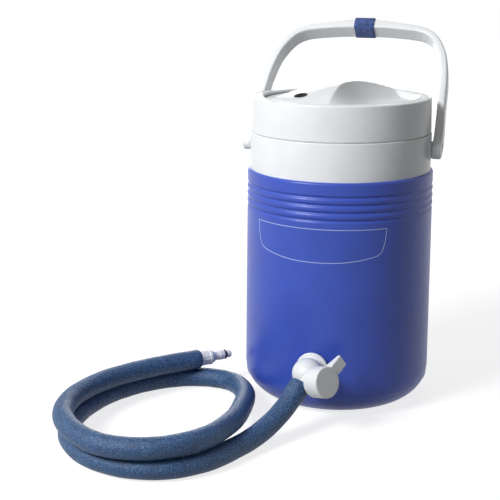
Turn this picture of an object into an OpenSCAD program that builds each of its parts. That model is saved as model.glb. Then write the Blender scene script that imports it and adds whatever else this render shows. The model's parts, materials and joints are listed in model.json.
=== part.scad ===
// Hot and cold therapy jug: an insulated water jug with a lift-off pump lid, a swinging bail
// handle, a drain tap near the foot and an insulated hose that ends in a plug-in coupling.
// The origin is on the floor on the jug's axis. The tap faces -Y and the handle turns about X.

/* [Jug] */
// Radius of the outer shell at its top
shell_r = 92; // [88:0.5:95]
// How much wider the outer shell is at its foot
shell_flare = 1.8; // [0:0.2:3]
// Height of the outer shell, up to the seam with the collar
shell_h = 232; // [200:1:260]
// Wall of the outer shell
shell_wall = 2.5; // [1.8:0.1:3.5]
// Radius of the rounded edge round the foot
foot_round = 30; // [22:1:36]
// Width of the small ledge above the rounded foot
foot_ledge = 0.9; // [0.4:0.1:1.5]
// Radius of the rounded top edge of the shell
shoulder_round = 2.4; // [1:0.1:2.4]
// Number of grooves round the shell below the collar
groove_count = 4; // [1:1:6]
// Distance from the collar seam down to the first groove
groove_drop = 14; // [8:0.5:20]
// Distance between grooves
groove_pitch = 7.3; // [5:0.1:10]
// Width of each groove
groove_w = 2.6; // [1.5:0.1:4]
// Depth of each groove
groove_depth = 1.3; // [0.5:0.1:1.8]

/* [Liner] */
// Thickness of the insulation between the shell and the liner
foam_t = 11.4; // [8:0.1:16]
// Wall of the liner
liner_wall = 2; // [1.5:0.1:2.5]
// Height of the liner's underside above the floor
liner_z = 20; // [12:1:30]
// Outer radius of the liner's bottom corner
liner_round = 14; // [8:1:20]
// Thickness of the liner's rim flange
liner_rim_t = 2; // [1.5:0.1:3]

/* [Collar] */
// Height of the collar between the shell and the lid
collar_h = 36.2; // [32:0.2:45]
// Wall of the collar
collar_wall = 2.5; // [1.8:0.1:3.5]
// Length of the collar's skirt inside the shell
skirt_drop = 10; // [5:0.5:13]
// Wall of the threaded neck
neck_wall = 3; // [2.2:0.1:3.4]
// Height of the neck above the collar
neck_rise = 15.8; // [14:0.2:20]
// How far the neck's sleeve reaches down inside the collar
neck_drop = 30; // [28:0.5:34]
// Depth of the thread rings
thread_h = 1.4; // [0.8:0.1:1.8]
// Height of each thread ring at its foot
thread_w = 2.4; // [1.5:0.1:3]
// Distance between thread rings
thread_pitch = 5; // [4.5:0.1:6]

/* [Lid] */
// Height of the lid's side
lid_h = 34; // [33:0.5:40]
// Radius of the lid at the seam, less the collar's radius
lid_inset = 0.6; // [0.4:0.1:1.5]
// Draft of the lid's side, from the seam to the rim
lid_draft = 0.9; // [0:0.1:1.2]
// Width of the ring round the top of the lid
rim_w = 11.5; // [10:0.1:11.8]
// Radius of the rounded edge of the rim
rim_round = 1.8; // [1:0.1:2.4]
// Height of the grip ridge above the rim
crest_h = 13.4; // [8:0.2:18]
// Length of the grip ridge, from front to back
ridge_len = 132; // [110:2:140]
// Depth of the finger scoop below the rim
scoop_depth = 6; // [3:0.2:6]
// Thickness of the grip panel
panel_t = 2.2; // [1.5:0.1:2.3]
// Slope of the ridge down to its low side, in degrees
ridge_slope = 13.5; // [8:0.5:20]
// Height of the sealing ring
gasket_h = 2.8; // [2:0.1:3]
// Wall of the pump pan
pan_wall = 2; // [1.5:0.1:2.5]
// Depth of the pump pan below its flange
pan_depth = 31.5; // [31:0.5:40]
// Thickness of the pan's flange and of the shelf above it
flange_t = 2.2; // [1.8:0.1:2.3]
// Number of screws that hold the pan to the lid
pan_screw_count = 6; // [4:1:8]

/* [Handle] */
// Height of the handle's pivots above the shell
pivot_rise = 21; // [19:0.2:22]
// Distance from the pivots to the middle of the grip
handle_rise = 149.6; // [135:0.2:160]
// Width of the handle's flat band
band_w = 17.8; // [14:0.2:20]
// Thickness of the handle's flat band
band_t = 7.3; // [5:0.1:8]
// Thickness of the handle's two ends round the pivots
hub_t = 9; // [7.5:0.1:10]
// How much the grip swells outwards over the band
grip_out = 3.2; // [1:0.1:5]
// How much the grip swells towards the lid over the band
grip_in = 0.4; // [0:0.1:2]
// Lean of the handle at rest, backwards from upright, in degrees
handle_lean = 43.5; // [42:0.5:60]
// How far the pivot bosses stand out of the collar
boss_rise = 1.7; // [1.5:0.1:3]
// Radius of the pivot bosses
boss_r = 8.5; // [7:0.5:9]
// Radius of the pivot pins
pin_r = 4; // [3:0.1:4.5]
// Radius of the pivot pins' heads
pin_head_r = 6.4; // [5.5:0.1:7]
// Width of the fabric strap on the grip
strap_w = 22; // [15:1:30]
// Thickness of the fabric strap
strap_t = 1.2; // [0.8:0.1:2]

/* [Tap] */
// Height of the tap above the floor
tap_z = 52; // [50:0.5:70]
// Distance from the shell to the middle of the valve housing
tap_reach = 21.4; // [20:0.2:24]
// Radius of the valve housing
bulb_r = 15.2; // [14.5:0.1:16]
// Radius of the tap's wall flange
tap_flange_r = 15.8; // [14:0.1:18]
// Thickness of the tap's wall flange
tap_flange_t = 3.4; // [2.5:0.1:4]
// Radius of the tap's neck
tap_neck_r = 11; // [9:0.2:12]
// Radius of the tap's shank through the wall
shank_r = 9.8; // [8.5:0.1:10]
// Radius of the water way through the shank
water_r = 5; // [3.5:0.1:5.5]
// How far the valve sits below the middle of its housing
valve_drop = 4.4; // [3.6:0.1:4.8]
// How far the valve sits in front of the middle of its housing
valve_shift = 4.5; // [3.8:0.1:4.9]
// Radius of the valve plug
plug_r = 5.5; // [5:0.1:5.8]
// Radius of the ports through the valve plug
port_r = 2.6; // [2:0.1:2.9]
// Radius of the tap's knob
knob_r = 14.7; // [12:0.1:16]
// Thickness of the tap's knob
knob_t = 18.3; // [14:0.1:22]
// Reach of the knob's lever from the knob's axis
lever_reach = 30; // [22:0.5:32]
// Width of the knob's lever
lever_w = 12; // [8:0.5:14]
// Turn of the lever about the knob's axis, in degrees
lever_turn = 31; // [0:1:60]
// Radius of the mouth that the hose leaves
mouth_r = 12.6; // [12:0.1:13.2]

/* [Hose] */
// Outer radius of the insulated hose
hose_r = 10; // [9:0.1:10]
// Radius of the coupling's grip sleeve
sleeve_r = 7.9; // [6:0.1:8.5]
// Length of the coupling's grip sleeve
sleeve_len = 16; // [12:0.5:22]
// Radius of the coupling's plug
coupling_r = 5; // [4.4:0.1:5.2]
// Length of the coupling's plug up to its sealing ring
coupling_len = 12.4; // [8:0.2:14]
// Radius of the coupling's nose
nose_r = 4; // [3.5:0.1:4.2]
// Length of the coupling's nose
nose_len = 5.4; // [4:0.2:7]

/* [Pump] */
// Radius of the pump motor
motor_r = 12; // [10:0.5:12.5]
// Length of the pump motor
motor_len = 34; // [28:1:38]
// Throw of the eccentric
throw = 1.5; // [0.8:0.1:1.8]
// Radius of the eccentric
eccentric_r = 5.5; // [4:0.1:6]
// Length of the circuit board
board_len = 32; // [24:1:34]
// Width of the circuit board
board_w = 26; // [18:1:28]
// Radius of the bore of the power socket
socket_r = 2.8; // [2.5:0.05:3.2]
// Depth of the bore of the power socket
socket_depth = 9; // [8:0.5:10]

/* [Hidden] */
// Clearances: between pieces that are fixed together, between pieces that move, and of shafts
gap = 0.1;
clear = 0.3;
shaft_fit = 0.05;
smoothest = 360;
fine = 96;
medium = 48;
small = 24;

// Levels, from the floor up
seam_z = shell_h;
lid_z = seam_z + collar_h;
neck_z = lid_z + neck_rise;
liner_top = neck_z + gap + liner_rim_t;
gasket_z = liner_top + clear;
pan_flange_z = gasket_z + gasket_h + clear;
shelf_z = pan_flange_z + flange_t + gap;
rim_z = lid_z + clear + lid_h;
pan_z = pan_flange_z - pan_depth;
pan_floor = pan_z + pan_wall;
pivot_z = seam_z + pivot_rise;

// Radii, from the middle out
liner_out = shell_r - shell_wall - gap - foam_t;
liner_r = liner_out - liner_wall;
neck_r = liner_out + gap + neck_wall;
collar_r = shell_r - shell_wall - gap;
lid_r = collar_r - lid_inset;
rim_r = lid_r - lid_draft;
panel_r = rim_r - rim_w;
lid_bore_r = neck_r + 2 * thread_h + clear - 0.2;
pan_r = liner_r - 1;
pan_flange_r = neck_r + 1.4;
foot_r = shell_r + shell_flare - foot_round;
boss_x = collar_r + boss_rise;
band_x = boss_x + clear + hub_t / 2;

// Handle
pin_head_t = 1.5;
pin_sink = 0.2;
pin_depth = 9;

// Tap
bulb_y = wall_at(tap_z) + tap_reach;
bulb = [0, -bulb_y, tap_z];
valve = bulb - [0, valve_shift, valve_drop];
knob_yaw = -32.4;
knob_tilt = 14.4;
outlet_yaw = -115.1;
outlet_dip = 38.3;
outlet_dir = [cos(outlet_dip) * cos(outlet_yaw), cos(outlet_dip) * sin(outlet_yaw), -sin(outlet_dip)];
bonnet_wall = 3;
bulb_flat = 12.4;
knob_back = bulb_flat + clear;
plug_back = -7.2;
plug_stem_r = 4;
plug_ring_places = [7.6, 10.4];
lever_root = 10;
lever_tip_t = 3;
lever_root_t = 14;
mouth_len = 17;
barb_start = 12.1;
barb_flange = 14.5;
barb_end = 15.9;
barb_r = 6;
water_end = [0, 5 - bulb_y, tap_z];
inlet_spot = water_end + [0, 1, -1];
outlet_spot = bulb + outlet_dir * (barb_start + 0.5);
washer_t = 2.2;
nut_t = 7;
nut_r = 15.5;
shank_end = liner_r - washer_t - nut_t - 4;

// Hose route on the floor, then stacked on itself: [x, y, height of the centre]
hose_route = [
    [-5.3, -126.4, 42.1], [-9, -134.2, 35.3], [-15, -146.5, 26], [-22.5, -162, 18],
    [-31, -180, 12.5], [-41, -202, 10.3], [-58, -236, 10], [-88, -261, 10], [-127, -267, 10],
    [-167, -253, 10], [-198, -219, 10], [-210, -170, 10], [-201, -116, 10], [-172, -72, 10],
    [-134, -50, 10.1], [-97, -54, 11], [-71, -88, 15], [-57, -136, 22], [-50, -188, 28],
    [-60, -234, 30], [-93, -266, 30], [-136, -273, 30], [-173, -255, 30], [-200, -224, 30],
    [-210, -182, 30], [-200, -134, 30], [-171, -88, 30], [-134.03, -49.19, 30]];
hose_end = hose_route[len(hose_route) - 1];
hose_before = hose_route[len(hose_route) - 2];
coupling_yaw = atan2(hose_end[1] - hose_before[1], hose_end[0] - hose_before[0]);
oring_w = 2.4;
oring_floor = 3.6;
oring_r = 5;

// Lid top
port_at = [-28, -48];
crest_x = 11;
crest_curve = 0.0048;
ridge_power = 2.4;
low_end = -57;
flank_x = 6;
flank_bend = 0.0062;
flank_w = 26;
flank_power = 1.7;
low_drop = 3.4;
panel_rings = 16;
panel_steps = 60;
ring_t = 2.5;
pan_screw_r = 1.4;
pan_screw_head_r = 2.6;
pan_screw_head_t = 1.2;
pan_screw_ring = (liner_r + 0.5 + neck_r) / 2 + 0.8;
socket_body_r = 5;
socket_body_len = 12;
socket_lip_r = 6.4;
socket_lip_t = 0.8;
socket_nut_t = 3;

// Pump
motor_y = 18;
motor_x = -28;
motor_z = pan_floor + gap + 3 + motor_r;
clamp_wall = 2.4;
clamp_w = 16;
head_x = motor_x + motor_len + 2;
head_len = 26;
head_w = 28;
head_top = motor_z + 12.7;
head_cavity_x = head_x + 4;
head_cavity_len = 12;
head_cavity_r = eccentric_r + throw + 1;
shaft_r = 1.5;
membrane_t = 1.2;
cap_t = 3;
tube_r = 3;
tube_bore = 1.8;
tube_bend = 7;
nozzle_x = head_x + head_len + 5 + tube_bend;
nozzle_flange_r = 6;
tube_z = head_top + 2 * gap + membrane_t + tube_bore;
board_z = pan_floor + 6;
board_x = 29 - pan_r;
board_y = 27 - pan_r;
board_t = 1.6;
screw_r = 1.25;
screw_head_r = 2.4;
screw_head_t = 1.4;
ear_w = 7;
ear_t = 3;
lead_r = 0.8;

// ---- Helpers ----

// Radius of the shell's outside at a height
function wall_at(z) = shell_r + shell_flare * (seam_z - z) / (seam_z - foot_round);
// Points of an arc in a turned profile: 0 degrees points down, 90 points outwards
function arc(c, r, a0, a1, n = 10) =
    [for (i = [0:n]) let (a = a0 + (a1 - a0) * i / n) [c[0] + r * sin(a), c[1] - r * cos(a)]];
function smooth(a, b, t) = let (u = min(1, max(0, (t - a) / (b - a)))) u * u * (3 - 2 * u);
function soft_min(a, b, k) = let (h = max(k - abs(a - b), 0) / k) min(a, b) - h * h * k / 4;
// A smooth curve through points, with n steps between each two
function spline_at(p0, p1, p2, p3, t) = 0.5 * (2 * p1 + (p2 - p0) * t
    + (2 * p0 - 5 * p1 + 4 * p2 - p3) * t * t + (3 * p1 - p0 - 3 * p2 + p3) * t * t * t);
function padded(p) = concat([2 * p[0] - p[1]], p, [2 * p[len(p) - 1] - p[len(p) - 2]]);
function spline(p, n) = let (q = padded(p)) concat(
    [for (i = [1:len(q) - 3], k = [0:n - 1]) spline_at(q[i - 1], q[i], q[i + 1], q[i + 2], k / n)],
    [p[len(p) - 1]]);
function unit(v) = v / norm(v);

module turned(points, fn = fine) { rotate_extrude($fn = fn) polygon(points); }

// A round cord swept along points
module cord(points, r, sides) {
    q = padded(points);
    rings = [for (i = [1:len(q) - 2])
        let (t = unit(q[i + 1] - q[i - 1]), s = unit(cross(t, [0, 0, 1])), u = cross(s, t))
        for (k = [0:sides - 1]) q[i] + r * (cos(360 * k / sides) * s + sin(360 * k / sides) * u)];
    last = (len(points) - 1) * sides;
    faces = concat(
        [[for (k = [0:sides - 1]) sides - 1 - k]],
        [for (i = [0:len(points) - 2], k = [0:sides - 1])
            let (a = i * sides + k, b = i * sides + (k + 1) % sides) [a, b, a + sides]],
        [for (i = [0:len(points) - 2], k = [0:sides - 1])
            let (a = i * sides + k, b = i * sides + (k + 1) % sides) [b, b + sides, a + sides]],
        [[for (k = [0:sides - 1]) last + k]]);
    polyhedron(rings, [for (f = faces) [for (i = [len(f) - 1:-1:0]) f[i]]], convexity = 6);
}

// A round bar on its end, and one between two points
module pill(r, h, fn = medium) { cylinder(r = r, h = h, $fn = fn); }
module bar(a, b, r) {
    v = b - a;
    translate(a) rotate([0, acos(v[2] / norm(v)), atan2(v[1], v[0])]) pill(r, norm(v), small);
}
module tap_way(r) { translate([0, 0, tap_z]) rotate([90, 0, 0]) pill(r, shell_r + 20); }
module along_knob() { translate(valve) rotate([0, -knob_tilt, knob_yaw]) rotate([0, 90, 0]) children(); }
module along_outlet() { translate(bulb) rotate([0, 90 + outlet_dip, outlet_yaw]) children(); }
module along_hose_end() { translate(hose_end) rotate([0, 0, coupling_yaw]) rotate([0, 90, 0]) children(); }
module at_handle() { translate([0, 0, pivot_z]) rotate([-handle_lean, 0, 0]) children(); }
module side_of(s, x) { translate([s * x, 0, pivot_z]) rotate([0, s * 90, 0]) children(); }

// ---- Jug ----

function groove(z) = [[wall_at(z - groove_w / 2), z - groove_w / 2],
    [wall_at(z) - groove_depth, z], [wall_at(z + groove_w / 2), z + groove_w / 2]];

module outer_shell() {
    crease = arc([foot_r, foot_round], foot_round, 70, 70, 1)[0];
    grooves = [for (i = [groove_count - 1:-1:0], p = groove(seam_z - groove_drop - i * groove_pitch)) p];
    outside = concat([[0, 0]], arc([foot_r, foot_round], foot_round, 0, 70),
        [crease + [foot_ledge, 0.6], [wall_at(foot_round), foot_round]], grooves,
        arc([shell_r - shoulder_round, seam_z - shoulder_round], shoulder_round, 90, 180, 6));
    inside = concat([[shell_r - shell_wall, seam_z]],
        arc([foot_r, foot_round], foot_round - shell_wall, 90, 0), [[0, shell_wall]]);
    color([0.2, 0.33, 0.68]) difference() {
        turned(concat(outside, inside));
        tap_way(shank_r + clear);
    }
}

module foam_insulation() {
    top = seam_z - skirt_drop - 2 * gap;
    skin = shell_wall + gap;
    corner = [liner_out - liner_round, liner_z + liner_round];
    color([0.93, 0.9, 0.78]) difference() {
        turned(concat([[0, skin]], arc([foot_r, foot_round], foot_round - skin, 0, 90),
            [[wall_at(top) - skin, top], [liner_out + gap, top]],
            arc(corner, liner_round + gap, 90, 0), [[0, liner_z - gap]]));
        tap_way(shank_r + clear);
    }
}

module inner_liner() {
    corner = [liner_out - liner_round, liner_z + liner_round];
    color([0.93, 0.94, 0.95]) difference() {
        turned(concat([[0, liner_z]], arc(corner, liner_round, 0, 90),
            [[liner_out, neck_z + gap], [neck_r, neck_z + gap], [neck_r, liner_top],
             [liner_r, liner_top]],
            arc(corner, liner_round - liner_wall, 90, 0), [[0, liner_z + liner_wall]]));
        tap_way(shank_r + clear);
    }
}

module thread_ring(r, z, rise) {
    turned([[r - sign(rise), z - thread_w / 2], [r, z - thread_w / 2],
        [r + rise, z - thread_w / 6], [r + rise, z + thread_w / 6], [r, z + thread_w / 2],
        [r - sign(rise), z + thread_w / 2]]);
}

module collar() {
    edge = 0.8;
    inner = liner_out + gap;
    color([0.93, 0.94, 0.95]) difference() {
        union() {
            turned([[collar_r, seam_z - skirt_drop], [collar_r, lid_z - edge],
                [collar_r - edge, lid_z], [neck_r, lid_z], [neck_r, neck_z], [inner, neck_z],
                [inner, lid_z - neck_drop], [neck_r, lid_z - neck_drop],
                [neck_r, lid_z - collar_wall], [collar_r - collar_wall, lid_z - collar_wall],
                [collar_r - collar_wall, seam_z - skirt_drop]]);
            for (i = [0, 1]) thread_ring(neck_r, lid_z + 4 + i * thread_pitch, thread_h);
            for (s = [-1, 1]) side_of(s, neck_r - 1) pill(boss_r, boss_x - neck_r + 1);
        }
        for (s = [-1, 1]) side_of(s, boss_x - pin_depth) pill(pin_r + shaft_fit, pin_depth + 1);
    }
}

module pivot_pin(s) {
    head_x = band_x + hub_t / 2 - pin_sink - pin_head_t;
    start = boss_x - pin_depth + gap;
    color([0.9, 0.91, 0.92]) union() {
        side_of(s, start) pill(pin_r, head_x - start + 0.5);
        side_of(s, head_x) pill(pin_head_r, pin_head_t);
    }
}
module pivot_pin_left() { pivot_pin(-1); }
module pivot_pin_right() { pivot_pin(1); }

// ---- Tap ----

// The shell's side as a solid cone, grown by a clearance, to fit what sits on it
module shell_side(grow) {
    z0 = foot_round;
    translate([0, 0, z0]) cylinder(r1 = wall_at(z0) + grow, r2 = wall_at(seam_z) + grow,
        h = seam_z - z0, $fn = smoothest);
}

module tap_body() {
    flange_y = wall_at(tap_z) + 1.2;
    color([0.94, 0.95, 0.96]) difference() {
        union() {
            translate([0, -flange_y, tap_z]) rotate([90, 0, 0]) pill(tap_flange_r, tap_flange_t);
            translate([0, -flange_y - 1, tap_z]) rotate([90, 0, 0]) pill(tap_neck_r, tap_reach - 4);
            translate([0, -shank_end, tap_z]) rotate([90, 0, 0]) pill(shank_r, flange_y - shank_end + 1);
            translate(bulb) sphere(r = bulb_r, $fn = medium);
            along_knob() pill(plug_r + bonnet_wall, bulb_flat);
            along_outlet() pill(mouth_r, mouth_len);
        }
        along_knob() translate([0, 0, bulb_flat]) pill(bulb_r + 6, 20);
        along_knob() translate([0, 0, plug_back - clear]) pill(plug_r + shaft_fit, 30);
        bar([0, 1 - shank_end, tap_z], water_end, water_r);
        bar(inlet_spot, valve, port_r);
        bar(outlet_spot, valve, port_r);
        along_outlet() translate([0, 0, barb_start - gap]) pill(barb_r + gap, mouth_len);
        along_outlet() translate([0, 0, barb_flange - gap]) pill(hose_r + clear, mouth_len);
    }
}

module tap_gasket() {
    color([0.2, 0.2, 0.22]) difference() {
        translate([0, -wall_at(tap_z) - 1.1, tap_z]) rotate([-90, 0, 0]) pill(tap_flange_r - 1.2, 6);
        shell_side(gap);
        tap_way(shank_r + gap);
    }
}

module tap_liner_washer() {
    color([0.2, 0.2, 0.22]) intersection() {
        difference() {
            translate([0, -liner_r - 2, tap_z]) rotate([-90, 0, 0]) pill(nut_r - 1.5, washer_t + 2);
            tap_way(shank_r + gap);
        }
        cylinder(r = liner_r - gap, h = seam_z, $fn = smoothest);
    }
}

module tap_backnut() {
    color([0.88, 0.9, 0.9]) difference() {
        translate([0, -liner_r + washer_t + gap, tap_z]) rotate([-90, 0, 0])
            cylinder(r = nut_r, h = nut_t, $fn = 6);
        tap_way(shank_r + gap);
    }
}

module outlet_barb() {
    color([0.85, 0.87, 0.88]) along_outlet() difference() {
        union() {
            translate([0, 0, barb_start]) pill(barb_r, barb_end - barb_start);
            translate([0, 0, barb_flange]) pill(hose_r - 0.2, barb_end - barb_flange);
        }
        translate([0, 0, barb_start - 1]) pill(barb_r - 2, barb_end);
    }
}

module tap_knob() {
    edge = 0.8;
    color([0.93, 0.94, 0.95]) along_knob() difference() {
        union() {
            translate([0, 0, knob_back]) turned([[0, 0], [knob_r - edge, 0], [knob_r, edge],
                [knob_r, knob_t - edge], [knob_r - edge, knob_t], [0, knob_t]], medium);
            rotate([0, 0, lever_turn]) translate([-lever_w / 2, 0, knob_back + knob_t])
                rotate([90, 0, 90]) linear_extrude(lever_w) polygon([[lever_root, -lever_root_t],
                    [lever_reach, -lever_tip_t], [lever_reach, 0], [lever_root, 0]]);
        }
        translate([0, 0, knob_back - 1]) pill(plug_stem_r + shaft_fit, knob_t - 4);
    }
}

module tap_plug() {
    color([0.8, 0.82, 0.84]) difference() {
        along_knob() union() {
            translate([0, 0, plug_back]) pill(plug_r, bulb_flat - plug_back);
            translate([0, 0, bulb_flat - 1]) pill(plug_stem_r, knob_t - 5);
        }
        for (spot = [inlet_spot, outlet_spot]) bar(valve + 0.15 * (valve - spot), spot, port_r);
        for (z = plug_ring_places) along_knob() translate([0, 0, z]) rotate_extrude($fn = medium)
            translate([plug_r, 0]) square([2.4, 1.6], center = true);
    }
}

module plug_orings() {
    color([0.1, 0.1, 0.1]) for (z = plug_ring_places) along_knob() translate([0, 0, z])
        rotate_extrude($fn = medium) translate([plug_r - 0.65, 0]) circle(r = 0.5, $fn = 16);
}

// ---- Hose and coupling ----

module hose() { color([0.16, 0.26, 0.44]) cord(spline(hose_route, 2), hose_r, 12); }

module coupling_sleeve() {
    color([0.9, 0.92, 0.93]) along_hose_end() difference() {
        turned([[0, gap], [sleeve_r - 0.6, gap], [sleeve_r, 0.8], [sleeve_r, sleeve_len - 3],
            [sleeve_r - 1.4, sleeve_len - 2.2], [sleeve_r - 1.4, sleeve_len], [0, sleeve_len]], medium);
        translate([0, 0, 4]) pill(2.5, sleeve_len);
    }
}

module coupling_plug() {
    start = sleeve_len + gap;
    groove_z = start + coupling_len;
    color([0.92, 0.94, 0.95]) along_hose_end() difference() {
        turned([[0, start], [coupling_r, start], [coupling_r, groove_z - 0.3],
            [coupling_r - 0.3, groove_z], [oring_floor, groove_z], [oring_floor, groove_z + oring_w],
            [nose_r, groove_z + oring_w], [nose_r, groove_z + oring_w + nose_len - 0.8],
            [nose_r - 0.8, groove_z + oring_w + nose_len], [0, groove_z + oring_w + nose_len]], medium);
        translate([0, 0, start - 1]) pill(2.2, 60);
    }
}

module coupling_oring() {
    mid = sleeve_len + gap + coupling_len + oring_w / 2;
    color([0.05, 0.05, 0.05]) along_hose_end() turned([[oring_floor + gap, mid - 0.8],
        [oring_r - 0.5, mid - 0.9], [oring_r, mid - 0.4], [oring_r, mid + 0.4],
        [oring_r - 0.5, mid + 0.9], [oring_floor + gap, mid + 0.8]], medium);
}

// ---- Handle ----

// Half of the handle, from the right pivot to the top: [x, height, thickness out and in]
bail_half = [[band_x, 0, hub_t / 2, hub_t / 2],
    [band_x + 0.2, 0.09 * handle_rise, hub_t / 2 - 0.1, hub_t / 2 - 0.1],
    [band_x - 2.2, 0.34 * handle_rise, band_t / 2 + 0.3, band_t / 2 + 0.3],
    [band_x - 4.3, 0.575 * handle_rise, band_t / 2, band_t / 2],
    [band_x - 10.6, 0.78 * handle_rise, band_t / 2, band_t / 2],
    [band_x - 26.5, 0.935 * handle_rise, band_t / 2, band_t / 2],
    [0.415 * band_x, 0.985 * handle_rise, band_t / 2 + 0.3 * grip_out, band_t / 2 + 0.3 * grip_in],
    [0, handle_rise, band_t / 2 + grip_out, band_t / 2 + grip_in]];

module handle_bail() {
    count = len(bail_half);
    past_top = bail_half[count - 2];
    half = spline(concat(bail_half, [[-past_top[0], past_top[1], past_top[2], past_top[3]]]), 4);
    right = [for (i = [0:(count - 1) * 4]) half[i]];
    n = len(right);
    middle = concat(right, [for (i = [n - 2:-1:0]) [-right[i][0], right[i][1], right[i][2], right[i][3]]]);
    line = padded(middle);
    normals = [for (i = [1:len(line) - 2])
        let (t = unit([line[i + 1][0] - line[i - 1][0], line[i + 1][1] - line[i - 1][1]])) [t[1], -t[0]]];
    m = len(middle);
    outline = concat([for (i = [0:m - 1]) [middle[i][0], middle[i][1]] + normals[i] * middle[i][2]],
        [for (i = [m - 1:-1:0]) [middle[i][0], middle[i][1]] - normals[i] * middle[i][3]]);
    color([0.94, 0.95, 0.96]) difference() {
        union() {
            at_handle() rotate([90, 0, 0]) linear_extrude(band_w, center = true) polygon(outline);
            for (s = [-1, 1]) side_of(s, band_x - hub_t / 2) pill(band_w / 2, hub_t);
        }
        for (s = [-1, 1]) side_of(s, band_x - hub_t) pill(pin_r + shaft_fit, 2 * hub_t);
        for (s = [-1, 1]) side_of(s, band_x + hub_t / 2 - pin_sink - pin_head_t - clear)
            pill(pin_head_r + clear, hub_t);
    }
}

module handle_strap() {
    loop_w = band_w + 2 * gap;
    loop_t = band_t + grip_out + grip_in + 2 * gap;
    color([0.15, 0.22, 0.4]) at_handle()
        translate([0, 0, handle_rise + (grip_out - grip_in) / 2]) rotate([0, 90, 0])
        linear_extrude(strap_w, center = true) difference() {
            square([loop_t + 2 * strap_t, loop_w + 2 * strap_t], center = true);
            square([loop_t, loop_w], center = true);
        }
}

// ---- Lid ----

module lid_gasket() {
    color([0.25, 0.26, 0.28]) turned([[liner_r + 0.5, gasket_z], [neck_r - 0.3, gasket_z],
        [neck_r - 0.3, gasket_z + gasket_h], [liner_r + 0.5, gasket_z + gasket_h]]);
}

module pan_screw_places(z) {
    for (i = [0:pan_screw_count - 1]) rotate([0, 0, (i + 0.5) * 360 / pan_screw_count])
        translate([pan_screw_ring, 0, z]) children();
}

module lid_cap() {
    shelf_r = pan_r + gap;
    color([0.94, 0.95, 0.96]) difference() {
        union() {
            turned(concat([[lid_bore_r, lid_z + clear], [lid_r - 0.6, lid_z + clear],
                [lid_r, lid_z + clear + 0.6]],
                arc([rim_r - rim_round, rim_z - rim_round], rim_round, 90, 180, 6),
                [[panel_r + gap + 0.5, rim_z], [panel_r + gap, rim_z - 0.5],
                 [panel_r + gap, rim_z - ring_t], [lid_bore_r, rim_z - ring_t],
                 [lid_bore_r, shelf_z + flange_t], [shelf_r, shelf_z + flange_t],
                 [shelf_r, shelf_z], [lid_bore_r, shelf_z]]));
            for (i = [0, 1]) thread_ring(lid_bore_r, lid_z + 1.4 + i * thread_pitch,
                -(lid_bore_r - neck_r - thread_h - clear));
        }
        pan_screw_places(shelf_z - 1) pill(pan_screw_r + shaft_fit, flange_t + 0.8, small);
    }
}

// Height of the lid's top above the rim: a ridge that falls to its low side, beside a scoop
function slope_at(x) = let (d = max(0, crest_x - x), k = tan(ridge_slope) / (2 * crest_curve))
    crest_h - (d < k ? crest_curve * d * d : crest_curve * k * k + tan(ridge_slope) * (d - k));
function ridge(x, y) = slope_at(x) * (1 - pow(abs(2 * y / ridge_len), ridge_power));
function flank(y) = flank_x + flank_bend * pow(max(0, y + 15), 2);
function scoop(x, y) = -scoop_depth * (1 - smooth(0.9 * panel_r, panel_r, norm([x, y])));
function top_at(x, y) = let (f = flank(y),
    b = 1 - pow(1 - min(1, max(0, (x - f + 2) / flank_w)), flank_power),
    low = smooth(low_end - 2, low_end + 2, x),
    body = (1 - b) * ridge(min(x, f), y) + b * scoop(x, y))
    max(-scoop_depth, low * body - (1 - low) * low_drop);
port_slope = [top_at(port_at[0] + 1, port_at[1]) - top_at(port_at[0] - 1, port_at[1]),
    top_at(port_at[0], port_at[1] + 1) - top_at(port_at[0], port_at[1] - 1)] / 2;
port_dir = unit([-port_slope[0], -port_slope[1], 1]);
port_spot = [port_at[0], port_at[1], rim_z + top_at(port_at[0], port_at[1])];

module grip_panel() {
    n = panel_steps;
    spots = concat([[0, 0]], [for (i = [1:panel_rings], k = [0:n - 1])
        panel_r * i / panel_rings * [cos(360 * k / n), sin(360 * k / n)]]);
    m = len(spots);
    points = concat([for (p = spots) [p[0], p[1], rim_z + top_at(p[0], p[1])]],
        [for (p = spots) [p[0], p[1], rim_z + top_at(p[0], p[1]) - panel_t]]);
    function at(i, k) = 1 + (i - 1) * n + k % n;
    upper = concat([for (k = [0:n - 1]) [0, at(1, k + 1), at(1, k)]],
        [for (i = [1:panel_rings - 1], k = [0:n - 1]) [at(i, k), at(i, k + 1), at(i + 1, k)]],
        [for (i = [1:panel_rings - 1], k = [0:n - 1]) [at(i, k + 1), at(i + 1, k + 1), at(i + 1, k)]]);
    lower = [for (f = upper) [f[2] + m, f[1] + m, f[0] + m]];
    edge = [for (k = [0:n - 1]) let (a = at(panel_rings, k), b = at(panel_rings, k + 1)) [a, b, b + m]];
    edge_2 = [for (k = [0:n - 1]) let (a = at(panel_rings, k), b = at(panel_rings, k + 1)) [a, b + m, a + m]];
    color([0.9, 0.91, 0.93]) difference() {
        polyhedron(points, concat(upper, lower, edge, edge_2), convexity = 6);
        at_port() translate([0, 0, -8]) pill(socket_body_r + gap, 16);
    }
}

module at_port() {
    translate(port_spot) rotate([0, acos(port_dir[2]), atan2(port_dir[1], port_dir[0])]) children();
}

module power_socket() {
    color([0.06, 0.06, 0.07]) at_port() difference() {
        union() {
            translate([0, 0, gap + 0.1]) pill(socket_lip_r, socket_lip_t);
            translate([0, 0, -socket_body_len]) pill(socket_body_r, socket_body_len + 0.6);
        }
        translate([0, 0, 1 - socket_depth]) pill(socket_r, socket_depth + 2);
    }
}

module socket_nut() {
    color([0.7, 0.71, 0.73]) at_port() translate([0, 0, -panel_t - clear - socket_nut_t]) difference() {
        cylinder(r = socket_body_r + 3, h = socket_nut_t, $fn = 6);
        translate([0, 0, -1]) pill(socket_body_r + shaft_fit, socket_nut_t + 2);
    }
}

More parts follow.
